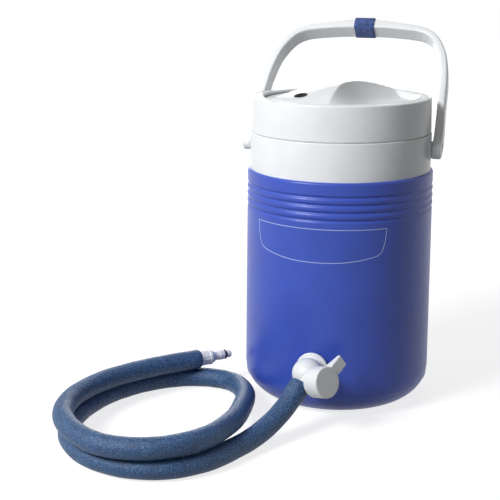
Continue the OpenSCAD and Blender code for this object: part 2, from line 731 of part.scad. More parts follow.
module lid_pan() {
    round_r = 5;
    corner = [pan_r - round_r, pan_z + round_r];
    color([0.9, 0.91, 0.93]) difference() {
        union() {
            turned(concat([[0, pan_z]], arc(corner, round_r, 0, 90, 6),
                [[pan_r, pan_flange_z], [pan_flange_r, pan_flange_z],
                 [pan_flange_r, pan_flange_z + flange_t], [pan_r - pan_wall, pan_flange_z + flange_t]],
                arc(corner, round_r - pan_wall, 90, 0, 6), [[0, pan_floor]]));
            board_posts() translate([0, 0, pan_floor - 0.5])
                pill(2.6, board_z - pan_floor + 0.5 - gap, small);
        }
        pan_screw_places(pan_flange_z - 1) pill(pan_screw_r + gap, flange_t + 2, small);
        pan_screw_places(pan_flange_z - 1) pill(pan_screw_head_r + gap, pan_screw_head_t + 1.1, small);
        board_posts() translate([0, 0, pan_floor + 1]) pill(screw_r + shaft_fit, board_z, small);
        translate([nozzle_x, motor_y, pan_z - 1]) pill(tube_r + 0.5 + gap, pan_wall + 2, small);
    }
}

module pan_screws() {
    color([0.75, 0.76, 0.78]) pan_screw_places(pan_flange_z + 0.05) union() {
        pill(pan_screw_head_r, pan_screw_head_t - 0.05, small);
        pill(pan_screw_r, flange_t + gap + 1.8, small);
    }
}

module pump_motor() {
    color([0.62, 0.64, 0.66]) translate([motor_x, motor_y, motor_z]) rotate([0, 90, 0]) difference() {
        union() {
            pill(motor_r, motor_len);
            translate([0, 0, motor_len - 0.5]) pill(3, 2);
            translate([0, 0, -1.5]) pill(3, 2);
        }
        translate([0, 0, motor_len - 8]) pill(shaft_r + shaft_fit, 12);
    }
}

module motor_clamp() {
    wide = 2 * (motor_r + clamp_wall);
    x0 = motor_x + (motor_len - clamp_w) / 2;
    color([0.25, 0.26, 0.28]) difference() {
        union() {
            translate([x0, motor_y - wide / 2, pan_floor + gap]) cube([clamp_w, wide, motor_z - pan_floor - gap]);
            translate([x0, motor_y, motor_z]) rotate([0, 90, 0]) pill(wide / 2, clamp_w);
            translate([x0, motor_y - wide / 2 - ear_w, pan_floor + gap])
                cube([clamp_w, wide + 2 * ear_w, ear_t]);
        }
        translate([x0 - 1, motor_y, motor_z]) rotate([0, 90, 0]) pill(motor_r + gap, clamp_w + 2);
        clamp_screw_places() translate([0, 0, -1]) pill(screw_r + gap, ear_t + 2, small);
    }
}

module clamp_screw_places() {
    for (s = [-1, 1]) translate([motor_x + motor_len / 2,
        motor_y + s * (motor_r + clamp_wall + ear_w / 2), pan_floor + gap]) children();
}

module head_screw_places() {
    for (s = [-1, 1]) translate([head_x + head_len / 2,
        motor_y + s * (head_w / 2 + ear_w / 2), pan_floor + gap]) children();
}

module pump_head() {
    color([0.3, 0.31, 0.34]) difference() {
        union() {
            translate([head_x, motor_y - head_w / 2, pan_floor + gap])
                cube([head_len, head_w, head_top - pan_floor - gap]);
            translate([head_x, motor_y - head_w / 2 - ear_w, pan_floor + gap])
                cube([head_len, head_w + 2 * ear_w, ear_t]);
        }
        translate([head_cavity_x, motor_y, motor_z]) rotate([0, 90, 0]) pill(head_cavity_r, head_cavity_len);
        translate([head_x - 1, motor_y, motor_z]) rotate([0, 90, 0]) pill(shaft_r + 0.5, 10);
        head_screw_places() translate([0, 0, -1]) pill(screw_r + gap, ear_t + 2, small);
    }
}

module pump_diaphragm() {
    color([0.15, 0.15, 0.16]) translate([head_x + head_len / 2, motor_y, head_top + gap])
        pill(head_w / 2 - 2, membrane_t);
}

module pump_cap() {
    z = head_top + 2 * gap + membrane_t;
    color([0.35, 0.36, 0.4]) union() {
        translate([head_x + head_len / 2, motor_y, z]) pill(head_w / 2 - 1.5, cap_t - 1);
        translate([head_x + head_len / 2, motor_y, tube_z]) rotate([0, 90, 0])
            pill(tube_bore - shaft_fit, head_len / 2 + 4, small);
    }
}

module air_tube() {
    start = head_x + head_len + 1;
    run = nozzle_x - tube_bend - start;
    drop = tube_z - tube_bend - (pan_floor + 5);
    module path(r) {
        translate([start, motor_y, tube_z]) rotate([0, 90, 0]) pill(r, run, small);
        translate([nozzle_x - tube_bend, motor_y, tube_z - tube_bend]) rotate([90, 0, 0])
            rotate_extrude(angle = 90, $fn = medium) translate([tube_bend, 0]) circle(r = r, $fn = small);
        translate([nozzle_x, motor_y, tube_z - tube_bend - drop]) pill(r, drop, small);
    }
    color([0.8, 0.82, 0.84]) difference() {
        path(tube_r);
        path(tube_bore);
    }
}

module air_nozzle() {
    color([0.85, 0.86, 0.88]) translate([nozzle_x, motor_y, pan_floor]) difference() {
        union() {
            translate([0, 0, 1.2 + 2 * gap]) pill(nozzle_flange_r, 2, small);
            translate([0, 0, -pan_wall - 8]) pill(tube_r + 0.5, pan_wall + 9.4, small);
            translate([0, 0, 1]) pill(tube_bore - shaft_fit, 9, small);
        }
        translate([0, 0, -pan_wall - 9]) pill(1, 30, small);
    }
}

module nozzle_seal() {
    color([0.12, 0.12, 0.12]) translate([nozzle_x, motor_y, pan_floor + gap]) difference() {
        pill(nozzle_flange_r - 0.6, 1.2, small);
        translate([0, 0, -1]) pill(tube_r + 0.6, 4, small);
    }
}

module board_posts() {
    for (x = [3.5, board_len - 3.5]) translate([board_x + x, board_y + board_w / 2, 0]) children();
}

module circuit_board() {
    top = board_z + board_t;
    color([0.1, 0.35, 0.2]) difference() {
        union() {
            translate([board_x, board_y, board_z]) cube([board_len, board_w, board_t]);
            translate([board_x + 9, board_y + 4, top - 0.2]) cube([10, 7, 1.8]);
            translate([board_x + 15, board_y + 19, top - 0.2]) pill(4, 10, small);
            translate([board_x + 22, board_y + 4, top - 0.2]) cube([6, 6, 7]);
        }
        board_posts() pill(screw_r + gap, 2 * board_z, small);
    }
}

module board_screws() {
    color([0.75, 0.76, 0.78]) board_posts() translate([0, 0, board_z + board_t + gap]) union() {
        pill(screw_head_r, screw_head_t, small);
        translate([0, 0, -5]) pill(screw_r, 5.5, small);
    }
}

module pump_screws() {
    color([0.75, 0.76, 0.78]) for (k = [0, 1]) {
        if (k == 0) clamp_screw_places() pump_screw();
        if (k == 1) head_screw_places() pump_screw();
    }
}
module pump_screw() {
    translate([0, 0, ear_t + gap]) pill(screw_head_r, screw_head_t, small);
    translate([0, 0, 0.2]) pill(screw_r, ear_t + 0.5, small);
}

// Each pair of leads is one pair of cords side by side
module lead_pair(route) {
    for (s = [-1, 1]) translate([s * 1.3, 0, 0]) cord(spline(route, 3), lead_r, 8);
}

module power_leads() {
    foot = port_spot - port_dir * socket_body_len - [0, 0, 0.95];
    solder = [board_x + 7, board_y + board_w - 3, board_z + board_t + gap];
    color([0.6, 0.1, 0.1]) lead_pair([foot, foot + [0, 0, -6],
        [(foot[0] + solder[0]) / 2, (foot[1] + solder[1]) / 2, foot[2] - 13], solder + [0, 2, 8], solder]);
}

module motor_leads() {
    start = [board_x + board_len - 4, board_y + board_w - 4, board_z + board_t + gap];
    finish = [motor_x + 4, motor_y, motor_z + motor_r + gap];
    color([0.1, 0.1, 0.1]) lead_pair([start, start + [0, 2, 8], [motor_x + 7, motor_y - 26, motor_z + 6],
        finish + [0, -5, 5], finish]);
}

module motor_shaft() {
    color([0.75, 0.76, 0.78]) translate([motor_x + motor_len - 7, motor_y, motor_z])
        rotate([0, 90, 0]) pill(shaft_r, head_cavity_x + head_cavity_len - 1 - (motor_x + motor_len - 7), small);
}

module eccentric() {
    color([0.8, 0.72, 0.4]) translate([head_cavity_x + 1, motor_y, motor_z]) rotate([0, 90, 0])
        difference() {
            translate([throw, 0, 0]) pill(eccentric_r, head_cavity_len - 3);
            translate([0, 0, -1]) pill(shaft_r + shaft_fit, head_cavity_len + 2, small);
        }
}

outer_shell();
foam_insulation();
inner_liner();
collar();
pivot_pin_left();
pivot_pin_right();
tap_body();
tap_gasket();
tap_liner_washer();
tap_backnut();
outlet_barb();
hose();
coupling_sleeve();
coupling_plug();
coupling_oring();
handle_bail();
handle_strap();
lid_gasket();
lid_cap();
grip_panel();
lid_pan();
pan_screws();
power_socket();
socket_nut();
pump_motor();
motor_clamp();
pump_head();
pump_diaphragm();
pump_cap();
air_tube();
air_nozzle();
nozzle_seal();
circuit_board();
board_screws();
pump_screws();
power_leads();
motor_leads();
motor_shaft();
eccentric();
tap_knob();
tap_plug();
plug_orings();
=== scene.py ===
"""Looks of a hot and cold therapy jug: shell, collar, pump lid, bail handle, tap, hose and coupling.

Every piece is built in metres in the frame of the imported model: the floor is Z = 0, the tap
faces -Y and the handle turns about X.
"""

import json
import math

import bmesh
import bpy
import numpy as np
from bpy.props import FloatProperty, FloatVectorProperty, IntProperty, PointerProperty
from bpy.types import Operator, Panel, PropertyGroup
from mathutils import Matrix, Vector


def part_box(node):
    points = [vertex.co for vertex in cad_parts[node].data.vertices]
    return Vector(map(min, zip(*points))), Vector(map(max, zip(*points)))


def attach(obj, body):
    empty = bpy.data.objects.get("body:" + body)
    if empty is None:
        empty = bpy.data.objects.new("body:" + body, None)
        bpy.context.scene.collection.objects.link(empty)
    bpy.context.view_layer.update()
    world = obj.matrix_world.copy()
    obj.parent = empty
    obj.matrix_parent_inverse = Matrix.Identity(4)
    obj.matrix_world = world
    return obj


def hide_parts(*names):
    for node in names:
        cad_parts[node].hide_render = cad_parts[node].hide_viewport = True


bl_info = {
    "name": "Therapy Jug",
    "version": (1, 0, 0),
    "blender": (4, 5, 0),
    "location": "View3D > Sidebar > Therapy Jug",
    "description": "Builds the looks of a hot and cold therapy jug round its packed frame",
    "category": "Add Mesh",
}

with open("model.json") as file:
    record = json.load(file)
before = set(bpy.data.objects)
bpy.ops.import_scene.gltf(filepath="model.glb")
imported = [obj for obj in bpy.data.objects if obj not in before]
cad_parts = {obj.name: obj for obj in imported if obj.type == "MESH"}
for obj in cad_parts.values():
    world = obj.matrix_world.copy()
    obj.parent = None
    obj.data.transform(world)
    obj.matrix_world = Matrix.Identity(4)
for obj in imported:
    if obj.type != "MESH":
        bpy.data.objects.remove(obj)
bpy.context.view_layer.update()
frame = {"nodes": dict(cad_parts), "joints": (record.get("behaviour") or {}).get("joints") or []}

# ---- Places and sizes that come from the frame ----

MM = 0.001
JOINTS = {joint["name"]: joint for joint in frame["joints"]}
PIVOT_Z = JOINTS["handle_swing"]["pos_m"][2]
VALVE = Vector(JOINTS["tap_turn"]["pos_m"])
KNOB_AXIS = Vector(JOINTS["tap_turn"]["axis"])
SEAM_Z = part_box("outer_shell")[1].z
COLLAR_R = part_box("collar")[1].y
BOSS_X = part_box("collar")[1].x
LID_Z, RIM_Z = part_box("lid_cap")[0].z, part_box("lid_cap")[1].z
LID_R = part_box("lid_cap")[1].y
NECK_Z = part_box("inner_liner")[1].z - 2.1 * MM
PIN_FACE_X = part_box("pivot_pin_right")[1].x

# Jug
SHELL_R, SHELL_FLARE, SHELL_WALL = 92 * MM, 1.8 * MM, 2.5 * MM
FOOT_ROUND, FOOT_LEDGE, CREASE_ANGLE = 30 * MM, 0.9 * MM, 70
GROOVES_FROM_Z, TOP_ROUND = 180 * MM, 2.4 * MM
TAP_Z, SHANK_R = 52 * MM, 9.8 * MM
NECK_R, LINER_R = 81.1 * MM, 78 * MM
THREAD_H, THREAD_W, THREAD_PITCH = 1.4 * MM, 2.4 * MM, 5 * MM

# Lid
PANEL_R, RIM_R = 76.4 * MM, 87.9 * MM
LID_BORE_R, SHELF_R, SHELF_Z = 84 * MM, 75.1 * MM, 291.8 * MM
LID_THREAD_H, LID_THREAD_LIFT = 1.2 * MM, 0.3 * MM
SOCKET_R = 5 * MM

# The top of the lid, in millimetres
PORT_AT = (-28.0, -48.0)
CREST_X, CREST_CURVE, RIDGE_SLOPE = 11, 0.0048, math.tan(math.radians(13.5))
RIDGE_HALF, RIDGE_POWER = 66, 2.4
FLANK_X, FLANK_FROM, FLANK_BEND = 6, -15, 0.0062
FLANK_W, FLANK_POWER, FLANK_START = 26, 1.7, 2
SCOOP_FLAT = 0.9
LOW_END, LOW_BLEND, LOW_DROP = -57.0, 1.2, 3.4

# Handle and its bosses
LEAN = math.radians(43.5)
BAND_X = BOSS_X + 0.3 * MM + 4.5 * MM
BOSS_FOOT_X, BOSS_FOOT_R, PIN_BORE, PIN_BORE_R = 79 * MM, 11.5 * MM, 9.1 * MM, 4.05 * MM
HANDLE_RISE = 149.6 * MM

# Tap
BULB = Vector((0, -115.004, 52)) * MM
OUTLET = Vector((-0.3328, -0.7107, -0.6198)).normalized()
BONNET_END = 12.4 * MM
BONNET_R, BULB_R, NECK_BAR_R = 8.5 * MM, 15 * MM, 11 * MM
BULB_MIDDLE = BULB + Vector((0, 3, 0.5)) * MM
PLUG_BORE_R, FLOW_BORE_R, MOUTH_START = 5.6 * MM, 5 * MM, 11 * MM
LEVER_TURN = math.radians(31)

# Hose and coupling
HOSE_STEP, STEPS_INTO_TAP = 1.6 * MM, 3
HOSE_SKIN, CUFF = 0.25 * MM, 0.75 * MM
WAIST_R, GRIP_RIBS = 7.4 * MM, 12

# The hose's line on the floor and stacked on itself, in millimetres
HOSE_ROUTE = [
    (-5.3, -126.4, 42.1), (-9, -134.2, 35.3), (-15, -146.5, 26), (-22.5, -162, 18),
    (-31, -180, 12.5), (-41, -202, 10.3), (-58, -236, 10), (-88, -261, 10), (-127, -267, 10),
    (-167, -253, 10), (-198, -219, 10), (-210, -170, 10), (-201, -116, 10), (-172, -72, 10),
    (-134, -50, 10.1), (-97, -54, 11), (-71, -88, 15), (-57, -136, 22), (-50, -188, 28),
    (-60, -234, 30), (-93, -266, 30), (-136, -273, 30), (-173, -255, 30), (-200, -224, 30),
    (-210, -182, 30), (-200, -134, 30), (-171, -88, 30), (-134.03, -49.19, 30)]


def srgb(red, green, blue):
    """A colour given as 8-bit screen values, as the linear values that shaders use."""
    def linear(value):
        value /= 255
        return value / 12.92 if value <= 0.04045 else ((value + 0.055) / 1.055) ** 2.4
    return (linear(red), linear(green), linear(blue))


# ---- What a user may change ----

def length(name, description, default):
    """A length setting in metres."""
    return FloatProperty(name=name, description=description, default=default, min=0.0, unit="LENGTH")


def tint(name, description, default):
    """A colour setting."""
    return FloatVectorProperty(name=name, description=description, default=default, size=3,
                               min=0.0, max=1.0, subtype="COLOR")


class JugSizes(PropertyGroup):
    """Sizes of the fine shapes"""
    groove_count: IntProperty(name="Grooves", description="Grooves round the shell", default=4, min=0)
    groove_drop: length("Groove drop", "From the collar's seam down to the first groove", 14 * MM)
    groove_pitch: length("Groove pitch", "Distance between grooves", 7.3 * MM)
    groove_width: length("Groove width", "Width of the soft groove", 4.2 * MM)
    groove_depth: length("Groove depth", "Depth of the soft groove", 1.3 * MM)
    rib_bulge: length("Rib bulge", "How far the ribs between the grooves swell", 0.25 * MM)
    line_width: length("Outline width", "Width of the fine line round the bare panel", 0.8 * MM)
    scoop_depth: length("Scoop depth", "Depth of the lid's finger scoop below the rim", 6 * MM)
    crest_height: length("Crest height", "Height of the lid's grip ridge above the rim", 13.4 * MM)
    panel_thickness: length("Panel thickness", "Thickness of the lid's top panel", 2.2 * MM)
    band_width: length("Band width", "Width of the handle's band", 17.8 * MM)
    band_thickness: length("Band thickness", "Thickness of the handle's band", 7.3 * MM)
    hub_thickness: length("End thickness", "Thickness of the handle's two ends", 9 * MM)
    grip_swell: length("Grip swell", "How much the grip swells outwards over the band", 3.2 * MM)
    grip_palm: length("Grip palm", "How much the grip swells towards the lid over the band", 0.4 * MM)
    strap_width: length("Strap width", "Width of the fabric strap on the grip", 21 * MM)
    strap_thickness: length("Strap thickness", "Thickness of the fabric strap", 1.1 * MM)
    knob_radius: length("Knob radius", "Radius of the tap's knob", 14.7 * MM)
    knob_thickness: length("Knob thickness", "Thickness of the tap's knob", 18.3 * MM)
    lever_reach: length("Lever reach", "Reach of the knob's lever from its axis", 30 * MM)
    lever_width: length("Lever width", "Width of the knob's lever", 12 * MM)
    hose_radius: length("Hose radius", "Outer radius of the insulated hose", 10 * MM)


class JugColours(PropertyGroup):
    """Colours of the finishes"""
    shell: tint("Shell", "Blue plastic of the outer shell", srgb(56, 82, 182))
    outline: tint("Outline", "Fine pale line round the bare panel", srgb(168, 184, 226))
    white: tint("White parts", "White plastic of collar, lid, handle and tap", srgb(232, 235, 237))
    liner: tint("Liner", "White plastic of the water space", srgb(226, 230, 232))
    hose: tint("Hose", "Blue of the hose's fabric sleeve", srgb(40, 80, 126))
    hose_dark: tint("Hose, dark", "Dark flecks of the fabric sleeve", srgb(28, 46, 78))
    hose_light: tint("Hose, light", "Light flecks of the fabric sleeve", srgb(118, 164, 200))
    strap: tint("Strap", "Blue of the woven strap", srgb(48, 68, 118))
    rubber: tint("Rubber", "Black rubber of rings and seals", srgb(24, 24, 26))
    gasket: tint("Gaskets", "Grey rubber of the gaskets", srgb(70, 72, 76))
    steel: tint("Steel", "Bare steel of screws, shaft and motor", srgb(186, 188, 192))
    brass: tint("Brass", "Brass of the eccentric", srgb(205, 176, 106))
    foam: tint("Foam", "Insulating foam", srgb(232, 222, 188))
    board: tint("Board", "Lacquer of the circuit board", srgb(34, 98, 60))
    pump: tint("Pump", "Dark plastic of the pump", srgb(82, 84, 90))
    red_lead: tint("Red leads", "Insulation of the power leads", srgb(150, 26, 24))


# ---- Shapes ----

def rounded(corners, steps=6):
    """A closed outline through corners (x, y, radius), with an arc at each corner that has a radius."""
    outline = []
    count = len(corners)
    for i, (x, y, radius) in enumerate(corners):
        corner = Vector((x, y))
        to_last = Vector(corners[i - 1][:2]) - corner
        to_next = Vector(corners[(i + 1) % count][:2]) - corner
        if radius <= 0:
            outline.append(tuple(corner))
            continue
        to_last, to_next = to_last.normalized(), to_next.normalized()
        half = to_last.angle(to_next) / 2
        centre = corner + (to_last + to_next).normalized() * radius / math.sin(half)
        first = corner + to_last * radius / math.tan(half) - centre
        last = corner + to_next * radius / math.tan(half) - centre
        sweep = first.angle_signed(last)
        for k in range(steps + 1):
            turn = -sweep * k / steps
            outline.append((centre.x + first.x * math.cos(turn) - first.y * math.sin(turn),
                            centre.y + first.x * math.sin(turn) + first.y * math.cos(turn)))
    return outline


def arc(centre, radius, start, end, steps=10):
    """Points of an arc in a turned outline: 0 degrees points down and 90 points outwards."""
    angles = [math.radians(start + (end - start) * k / steps) for k in range(steps + 1)]
    return [(centre[0] + radius * math.sin(a), centre[1] - radius * math.cos(a)) for a in angles]


def turned(outline, steps):
    """A closed outline of (radius, height) turned about Z, as vertices and faces."""
    verts, faces, rows = [], [], []
    for radius, height in outline:
        if radius < 1e-7:
            rows.append([len(verts)] * steps)
            verts.append((0.0, 0.0, height))
            continue
        rows.append(range(len(verts), len(verts) + steps))
        for k in range(steps):
            angle = math.tau * k / steps
            verts.append((radius * math.cos(angle), radius * math.sin(angle), height))
    for i, low in enumerate(rows):
        high = rows[(i + 1) % len(rows)]
        for k in range(steps):
            j = (k + 1) % steps
            face = list(dict.fromkeys((low[k], low[j], high[j], high[k])))
            if len(face) > 2:
                faces.append(face)
    return verts, faces


def smooth_step(low, high, value):
    """0 below low, 1 above high and a smooth rise between them."""
    t = np.clip((value - low) / (high - low), 0, 1)
    return t * t * (3 - 2 * t)


def smooth_line(points, steps):
    """A smooth curve through points, as an array, with some steps between each two."""
    p = np.array(points, float)
    p = np.vstack([2 * p[0] - p[1], p, 2 * p[-1] - p[-2]])
    line = []
    for i in range(1, len(p) - 2):
        for k in range(steps):
            t = k / steps
            line.append(0.5 * (2 * p[i] + (p[i + 1] - p[i - 1]) * t
                               + (2 * p[i - 1] - 5 * p[i] + 4 * p[i + 1] - p[i + 2]) * t * t
                               + (3 * p[i] - p[i - 1] - 3 * p[i + 1] + p[i + 2]) * t ** 3))
    line.append(p[-2])
    return np.array(line)


def evenly(line, gap):
    """The same line with its points about one gap apart; further columns are carried along."""
    run = np.concatenate([[0], np.cumsum(np.linalg.norm(np.diff(line[:, :3], axis=0), axis=1))])
    count = max(2, int(round(run[-1] / gap)) + 1)
    places = np.linspace(0, run[-1], count)
    return np.stack([np.interp(places, run, column) for column in line.T], axis=1)


def along(line, up=(0, 0, 1)):
    """The tangents and two side directions at each point of a line, with little twist."""
    tangents = np.gradient(line, axis=0)
    tangents /= np.linalg.norm(tangents, axis=1)[:, None]
    sides, side = [], np.cross(tangents[0], up)
    for t in tangents:
        side = side - t * np.dot(side, t)
        side = side / np.linalg.norm(side)
        sides.append(side)
    sides = np.array(sides)
    return tangents, sides, np.cross(sides, tangents)


def tube_faces(rows, count, closed=False):
    """Side faces of a tube of rows of points, which comes back to its first row if it is closed."""
    faces = []
    for i in range(rows if closed else rows - 1):
        a, b = i * count, (i + 1) % rows * count
        faces += [(a + k, a + (k + 1) % count, b + (k + 1) % count, b + k) for k in range(count)]
    return faces


def capped_tube(rows, count):
    """Faces of a tube that has a face at each end."""
    last = (rows - 1) * count
    return tube_faces(rows, count) + [tuple(range(count - 1, -1, -1)), tuple(range(last, last + count))]


def swept(line, sections, up=(0, 0, 1)):
    """Closed sections, one for each point, carried along a line, with a face at each end."""
    _, sides, ups = along(line, up)
    sections = np.array(sections, float)
    verts = line[:, None] + sections[:, :, :1] * sides[:, None] + sections[:, :, 1:2] * ups[:, None]
    return [tuple(v) for v in verts.reshape(-1, 3)], capped_tube(len(line), sections.shape[1])


def frame_along(axis, origin):
    """A matrix whose Z is an axis and whose place is a point."""
    return Matrix.Translation(origin) @ Vector(axis).to_track_quat("Z", "Y").to_matrix().to_4x4()


KNOB_FRAME = (Matrix.Translation(VALVE)
              @ Matrix.Rotation(math.atan2(KNOB_AXIS.y, KNOB_AXIS.x), 4, "Z")
              @ Matrix.Rotation(-math.asin(KNOB_AXIS.z), 4, "Y")
              @ Matrix.Rotation(math.pi / 2, 4, "Y"))
HANDLE_FRAME = Matrix.Translation((0, 0, PIVOT_Z)) @ Matrix.Rotation(-LEAN, 4, "X")
PIVOT_FRAMES = [frame_along((side, 0, 0), (0, 0, PIVOT_Z)) for side in (-1, 1)]


def new_piece(name, shape, place=None):
    """An object from vertices and faces, with faces that look outwards."""
    mesh = bpy.data.meshes.new(name)
    mesh.from_pydata(shape[0], [], shape[1])
    work = bmesh.new()
    work.from_mesh(mesh)
    bmesh.ops.remove_doubles(work, verts=work.verts, dist=1e-7)
    bmesh.ops.recalc_face_normals(work, faces=work.faces)
    if place is not None:
        bmesh.ops.transform(work, matrix=place, verts=work.verts)
    work.to_mesh(mesh)
    work.free()
    piece = bpy.data.objects.new(name, mesh)
    bpy.context.scene.collection.objects.link(piece)
    return piece


def finished(piece):
    """Applies a piece's modifiers to its mesh."""
    graph = bpy.context.evaluated_depsgraph_get()
    mesh = bpy.data.meshes.new_from_object(piece.evaluated_get(graph))
    piece.modifiers.clear()
    old, piece.data = piece.data, mesh
    bpy.data.meshes.remove(old)
    mesh.name = piece.name
    return piece


def joined(name, pieces):
    """One object made of several, which go."""
    work = bmesh.new()
    for piece in pieces:
        work.from_mesh(piece.data)
    mesh = bpy.data.meshes.new(name)
    work.to_mesh(mesh)
    work.free()
    for piece in pieces:
        bpy.data.objects.remove(piece)
    whole = bpy.data.objects.new(name, mesh)
    bpy.context.scene.collection.objects.link(whole)
    return whole


def fused(name, pieces, voxel, softness):
    """One skin round overlapping pieces, softened where they meet."""
    whole = joined(name, pieces)
    remesh = whole.modifiers.new("Fuse", "REMESH")
    remesh.mode = "VOXEL"
    remesh.voxel_size = voxel
    soften = whole.modifiers.new("Soften", "SMOOTH")
    soften.factor = 0.5
    soften.iterations = softness
    return finished(whole)


def bored(piece, tools):
    """Cuts tools out of a piece."""
    for tool in tools:
        cut = piece.modifiers.new("Bore", "BOOLEAN")
        cut.operation = "DIFFERENCE"
        cut.solver = "EXACT"
        cut.object = tool
    finished(piece)
    for tool in tools:
        bpy.data.objects.remove(tool)
    return piece


def rod(radius, low, high, place, steps=64, edge=0.0):
    """A round bar along a matrix's Z, with rounded ends if it has an edge radius."""
    outline = rounded([(0, low, 0), (radius, low, edge), (radius, high, edge), (0, high, 0)], 4)
    return new_piece("rod", turned(outline, steps), place)


def dressed(piece, body, material, replaces=(), crease=40):
    """Gives a piece its shading, finish and body."""
    piece.data.shade_smooth()
    piece.data.set_sharp_from_angle(angle=math.radians(crease))
    piece.data.materials.clear()
    piece.data.materials.append(material)
    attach(piece, body)
    if replaces:
        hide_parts(*replaces)
    return piece


# ---- Materials ----

class Shader:
    """A new material with its main shader and short ways to add nodes."""

    def __init__(self, name, roughness, **constants):
        self.material = bpy.data.materials.new(name)
        self.material.use_nodes = True
        self.tree = self.material.node_tree
        self.main = self.tree.nodes["Principled BSDF"]
        self.main.inputs["Roughness"].default_value = roughness
        for socket, value in constants.items():
            self.main.inputs[socket.replace("_", " ")].default_value = value
        self.place = self.add("ShaderNodeTexCoord").outputs["Object"]

    def add(self, kind, **values):
        node = self.tree.nodes.new(kind)
        for name, value in values.items():
            if name in node.inputs:
                node.inputs[name].default_value = value
            else:
                setattr(node, name, value)
        return node

    def link(self, start, end):
        self.tree.links.new(start, end)

    def noise(self, scale, detail=3.0, roughness=0.5, vector=None):
        node = self.add("ShaderNodeTexNoise", Scale=scale, Detail=detail, Roughness=roughness)
        self.link(vector or self.place, node.inputs["Vector"])
        return node.outputs["Fac"]

    def cells(self, scale):
        node = self.add("ShaderNodeTexVoronoi", Scale=scale)
        self.link(self.place, node.inputs["Vector"])
        return node.outputs["Distance"]

    def between(self, factor, low, high, start=0.0, end=1.0):
        node = self.add("ShaderNodeMapRange")
        for name, value in (("From Min", low), ("From Max", high), ("To Min", start), ("To Max", end)):
            node.inputs[name].default_value = value
        self.link(factor, node.inputs["Value"])
        return node.outputs["Result"]

    def sums(self, first, second, operation="ADD"):
        node = self.add("ShaderNodeMath", operation=operation)
        self.link(first, node.inputs[0])
        self.link(second, node.inputs[1])
        return node.outputs[0]

    def scaled(self, value, factor):
        node = self.add("ShaderNodeMath", operation="MULTIPLY")
        self.link(value, node.inputs[0])
        node.inputs[1].default_value = factor
        return node.outputs[0]

    def colours(self, factor, stops):
        """Main colour from a factor, through stops of (place, colour)."""
        ramp = self.add("ShaderNodeValToRGB")
        bands = ramp.color_ramp.elements
        for band, (place, colour) in zip(bands, stops[:2]):
            band.position, band.color = place, (*colour, 1)
        for place, colour in stops[2:]:
            bands.new(place).color = (*colour, 1)
        self.link(factor, ramp.inputs["Fac"])
        self.link(ramp.outputs["Color"], self.main.inputs["Base Color"])

    def roughness(self, factor, low, high):
        self.link(self.between(factor, 0.3, 0.7, low, high), self.main.inputs["Roughness"])

    def bump(self, height, distance, strength=1.0, after=None):
        node = self.add("ShaderNodeBump", Distance=distance, Strength=strength)
        self.link(height, node.inputs["Height"])
        if after is not None:
            self.link(after, node.inputs["Normal"])
        self.link(node.outputs["Normal"], self.main.inputs["Normal"])
        return node.outputs["Normal"]


def shade(colour, amount):
    """A colour made lighter or darker."""
    return tuple(min(1.0, max(0.0, c * amount)) for c in colour)


def moulded(name, colour, roughness=0.34, grain=900.0, **constants):
    """Moulded plastic: a fine grain, faint flow clouds and a roughness that wanders."""
    shader = Shader(name, roughness, IOR=1.49, **constants)
    depth, mottle = 0.02 * MM, 0.03
    clouds = shader.noise(38.0, 4.0)
    shader.colours(clouds, [(0.3, shade(colour, 1 - mottle)), (0.7, shade(colour, 1 + mottle))])
    shader.roughness(shader.noise(260.0), roughness - 0.05, roughness + 0.06)
    fine = shader.bump(shader.noise(grain, 2.0), depth, 0.6)
    shader.bump(shader.noise(70.0, 2.0), 3 * depth, 0.25, after=fine)
    return shader.material


def peel_plastic(name, colour):
    """Blown plastic of the shell: a soft orange-peel skin with tiny pits, painted darker in the pits as
    painted shade and lighter on the high spots as painted highlight.
    """
    shader = Shader(name, 0.42, IOR=1.5, Specular_IOR_Level=0.4)
    pebbles = shader.cells(560.0)
    clouds = shader.noise(30.0, 5.0)
    # Painted shade and painted highlight: the same peel pattern that makes the bump paints the pits darker
    # and the high spots lighter.
    shader.colours(shader.sums(clouds, shader.between(pebbles, 0.0, 1.0, -0.06, 0.06)),
                   [(0.3, shade(colour, 0.93)), (0.5, colour), (0.75, shade(colour, 1.07))])
    shader.roughness(shader.noise(420.0, 3.0), 0.30, 0.42)
    peel = shader.bump(pebbles, 0.16 * MM, 0.42)
    shader.bump(shader.noise(150.0, 2.0), 0.25 * MM, 0.2, after=peel)
    return shader.material


def knitted(name, colour, dark, light):
    """Brushed knit over foam: short loops with dark gaps and pale fibre tips."""
    shader = Shader(name, 0.5, IOR=1.5, Sheen_Weight=0.05, Sheen_Roughness=0.35)
    shader.main.inputs["Sheen Tint"].default_value = (*light, 1)
    loops = shader.cells(820.0)
    fibres = shader.noise(1500.0, 5.0, 0.65)
    patches = shader.between(shader.noise(90.0, 4.0), 0.0, 1.0, -0.14, 0.14)
    flecks = shader.sums(shader.sums(fibres, loops, "SUBTRACT"), patches)
    shader.colours(shader.between(flecks, -0.4, 0.6),
                   [(0.1, dark), (0.4, shade(colour, 0.85)), (0.6, shade(colour, 1.1)), (0.88, light)])
    piled = shader.bump(shader.scaled(loops, -1.0), 0.7 * MM, 0.55)
    shader.bump(fibres, 0.5 * MM, 0.4, after=piled)
    return shader.material


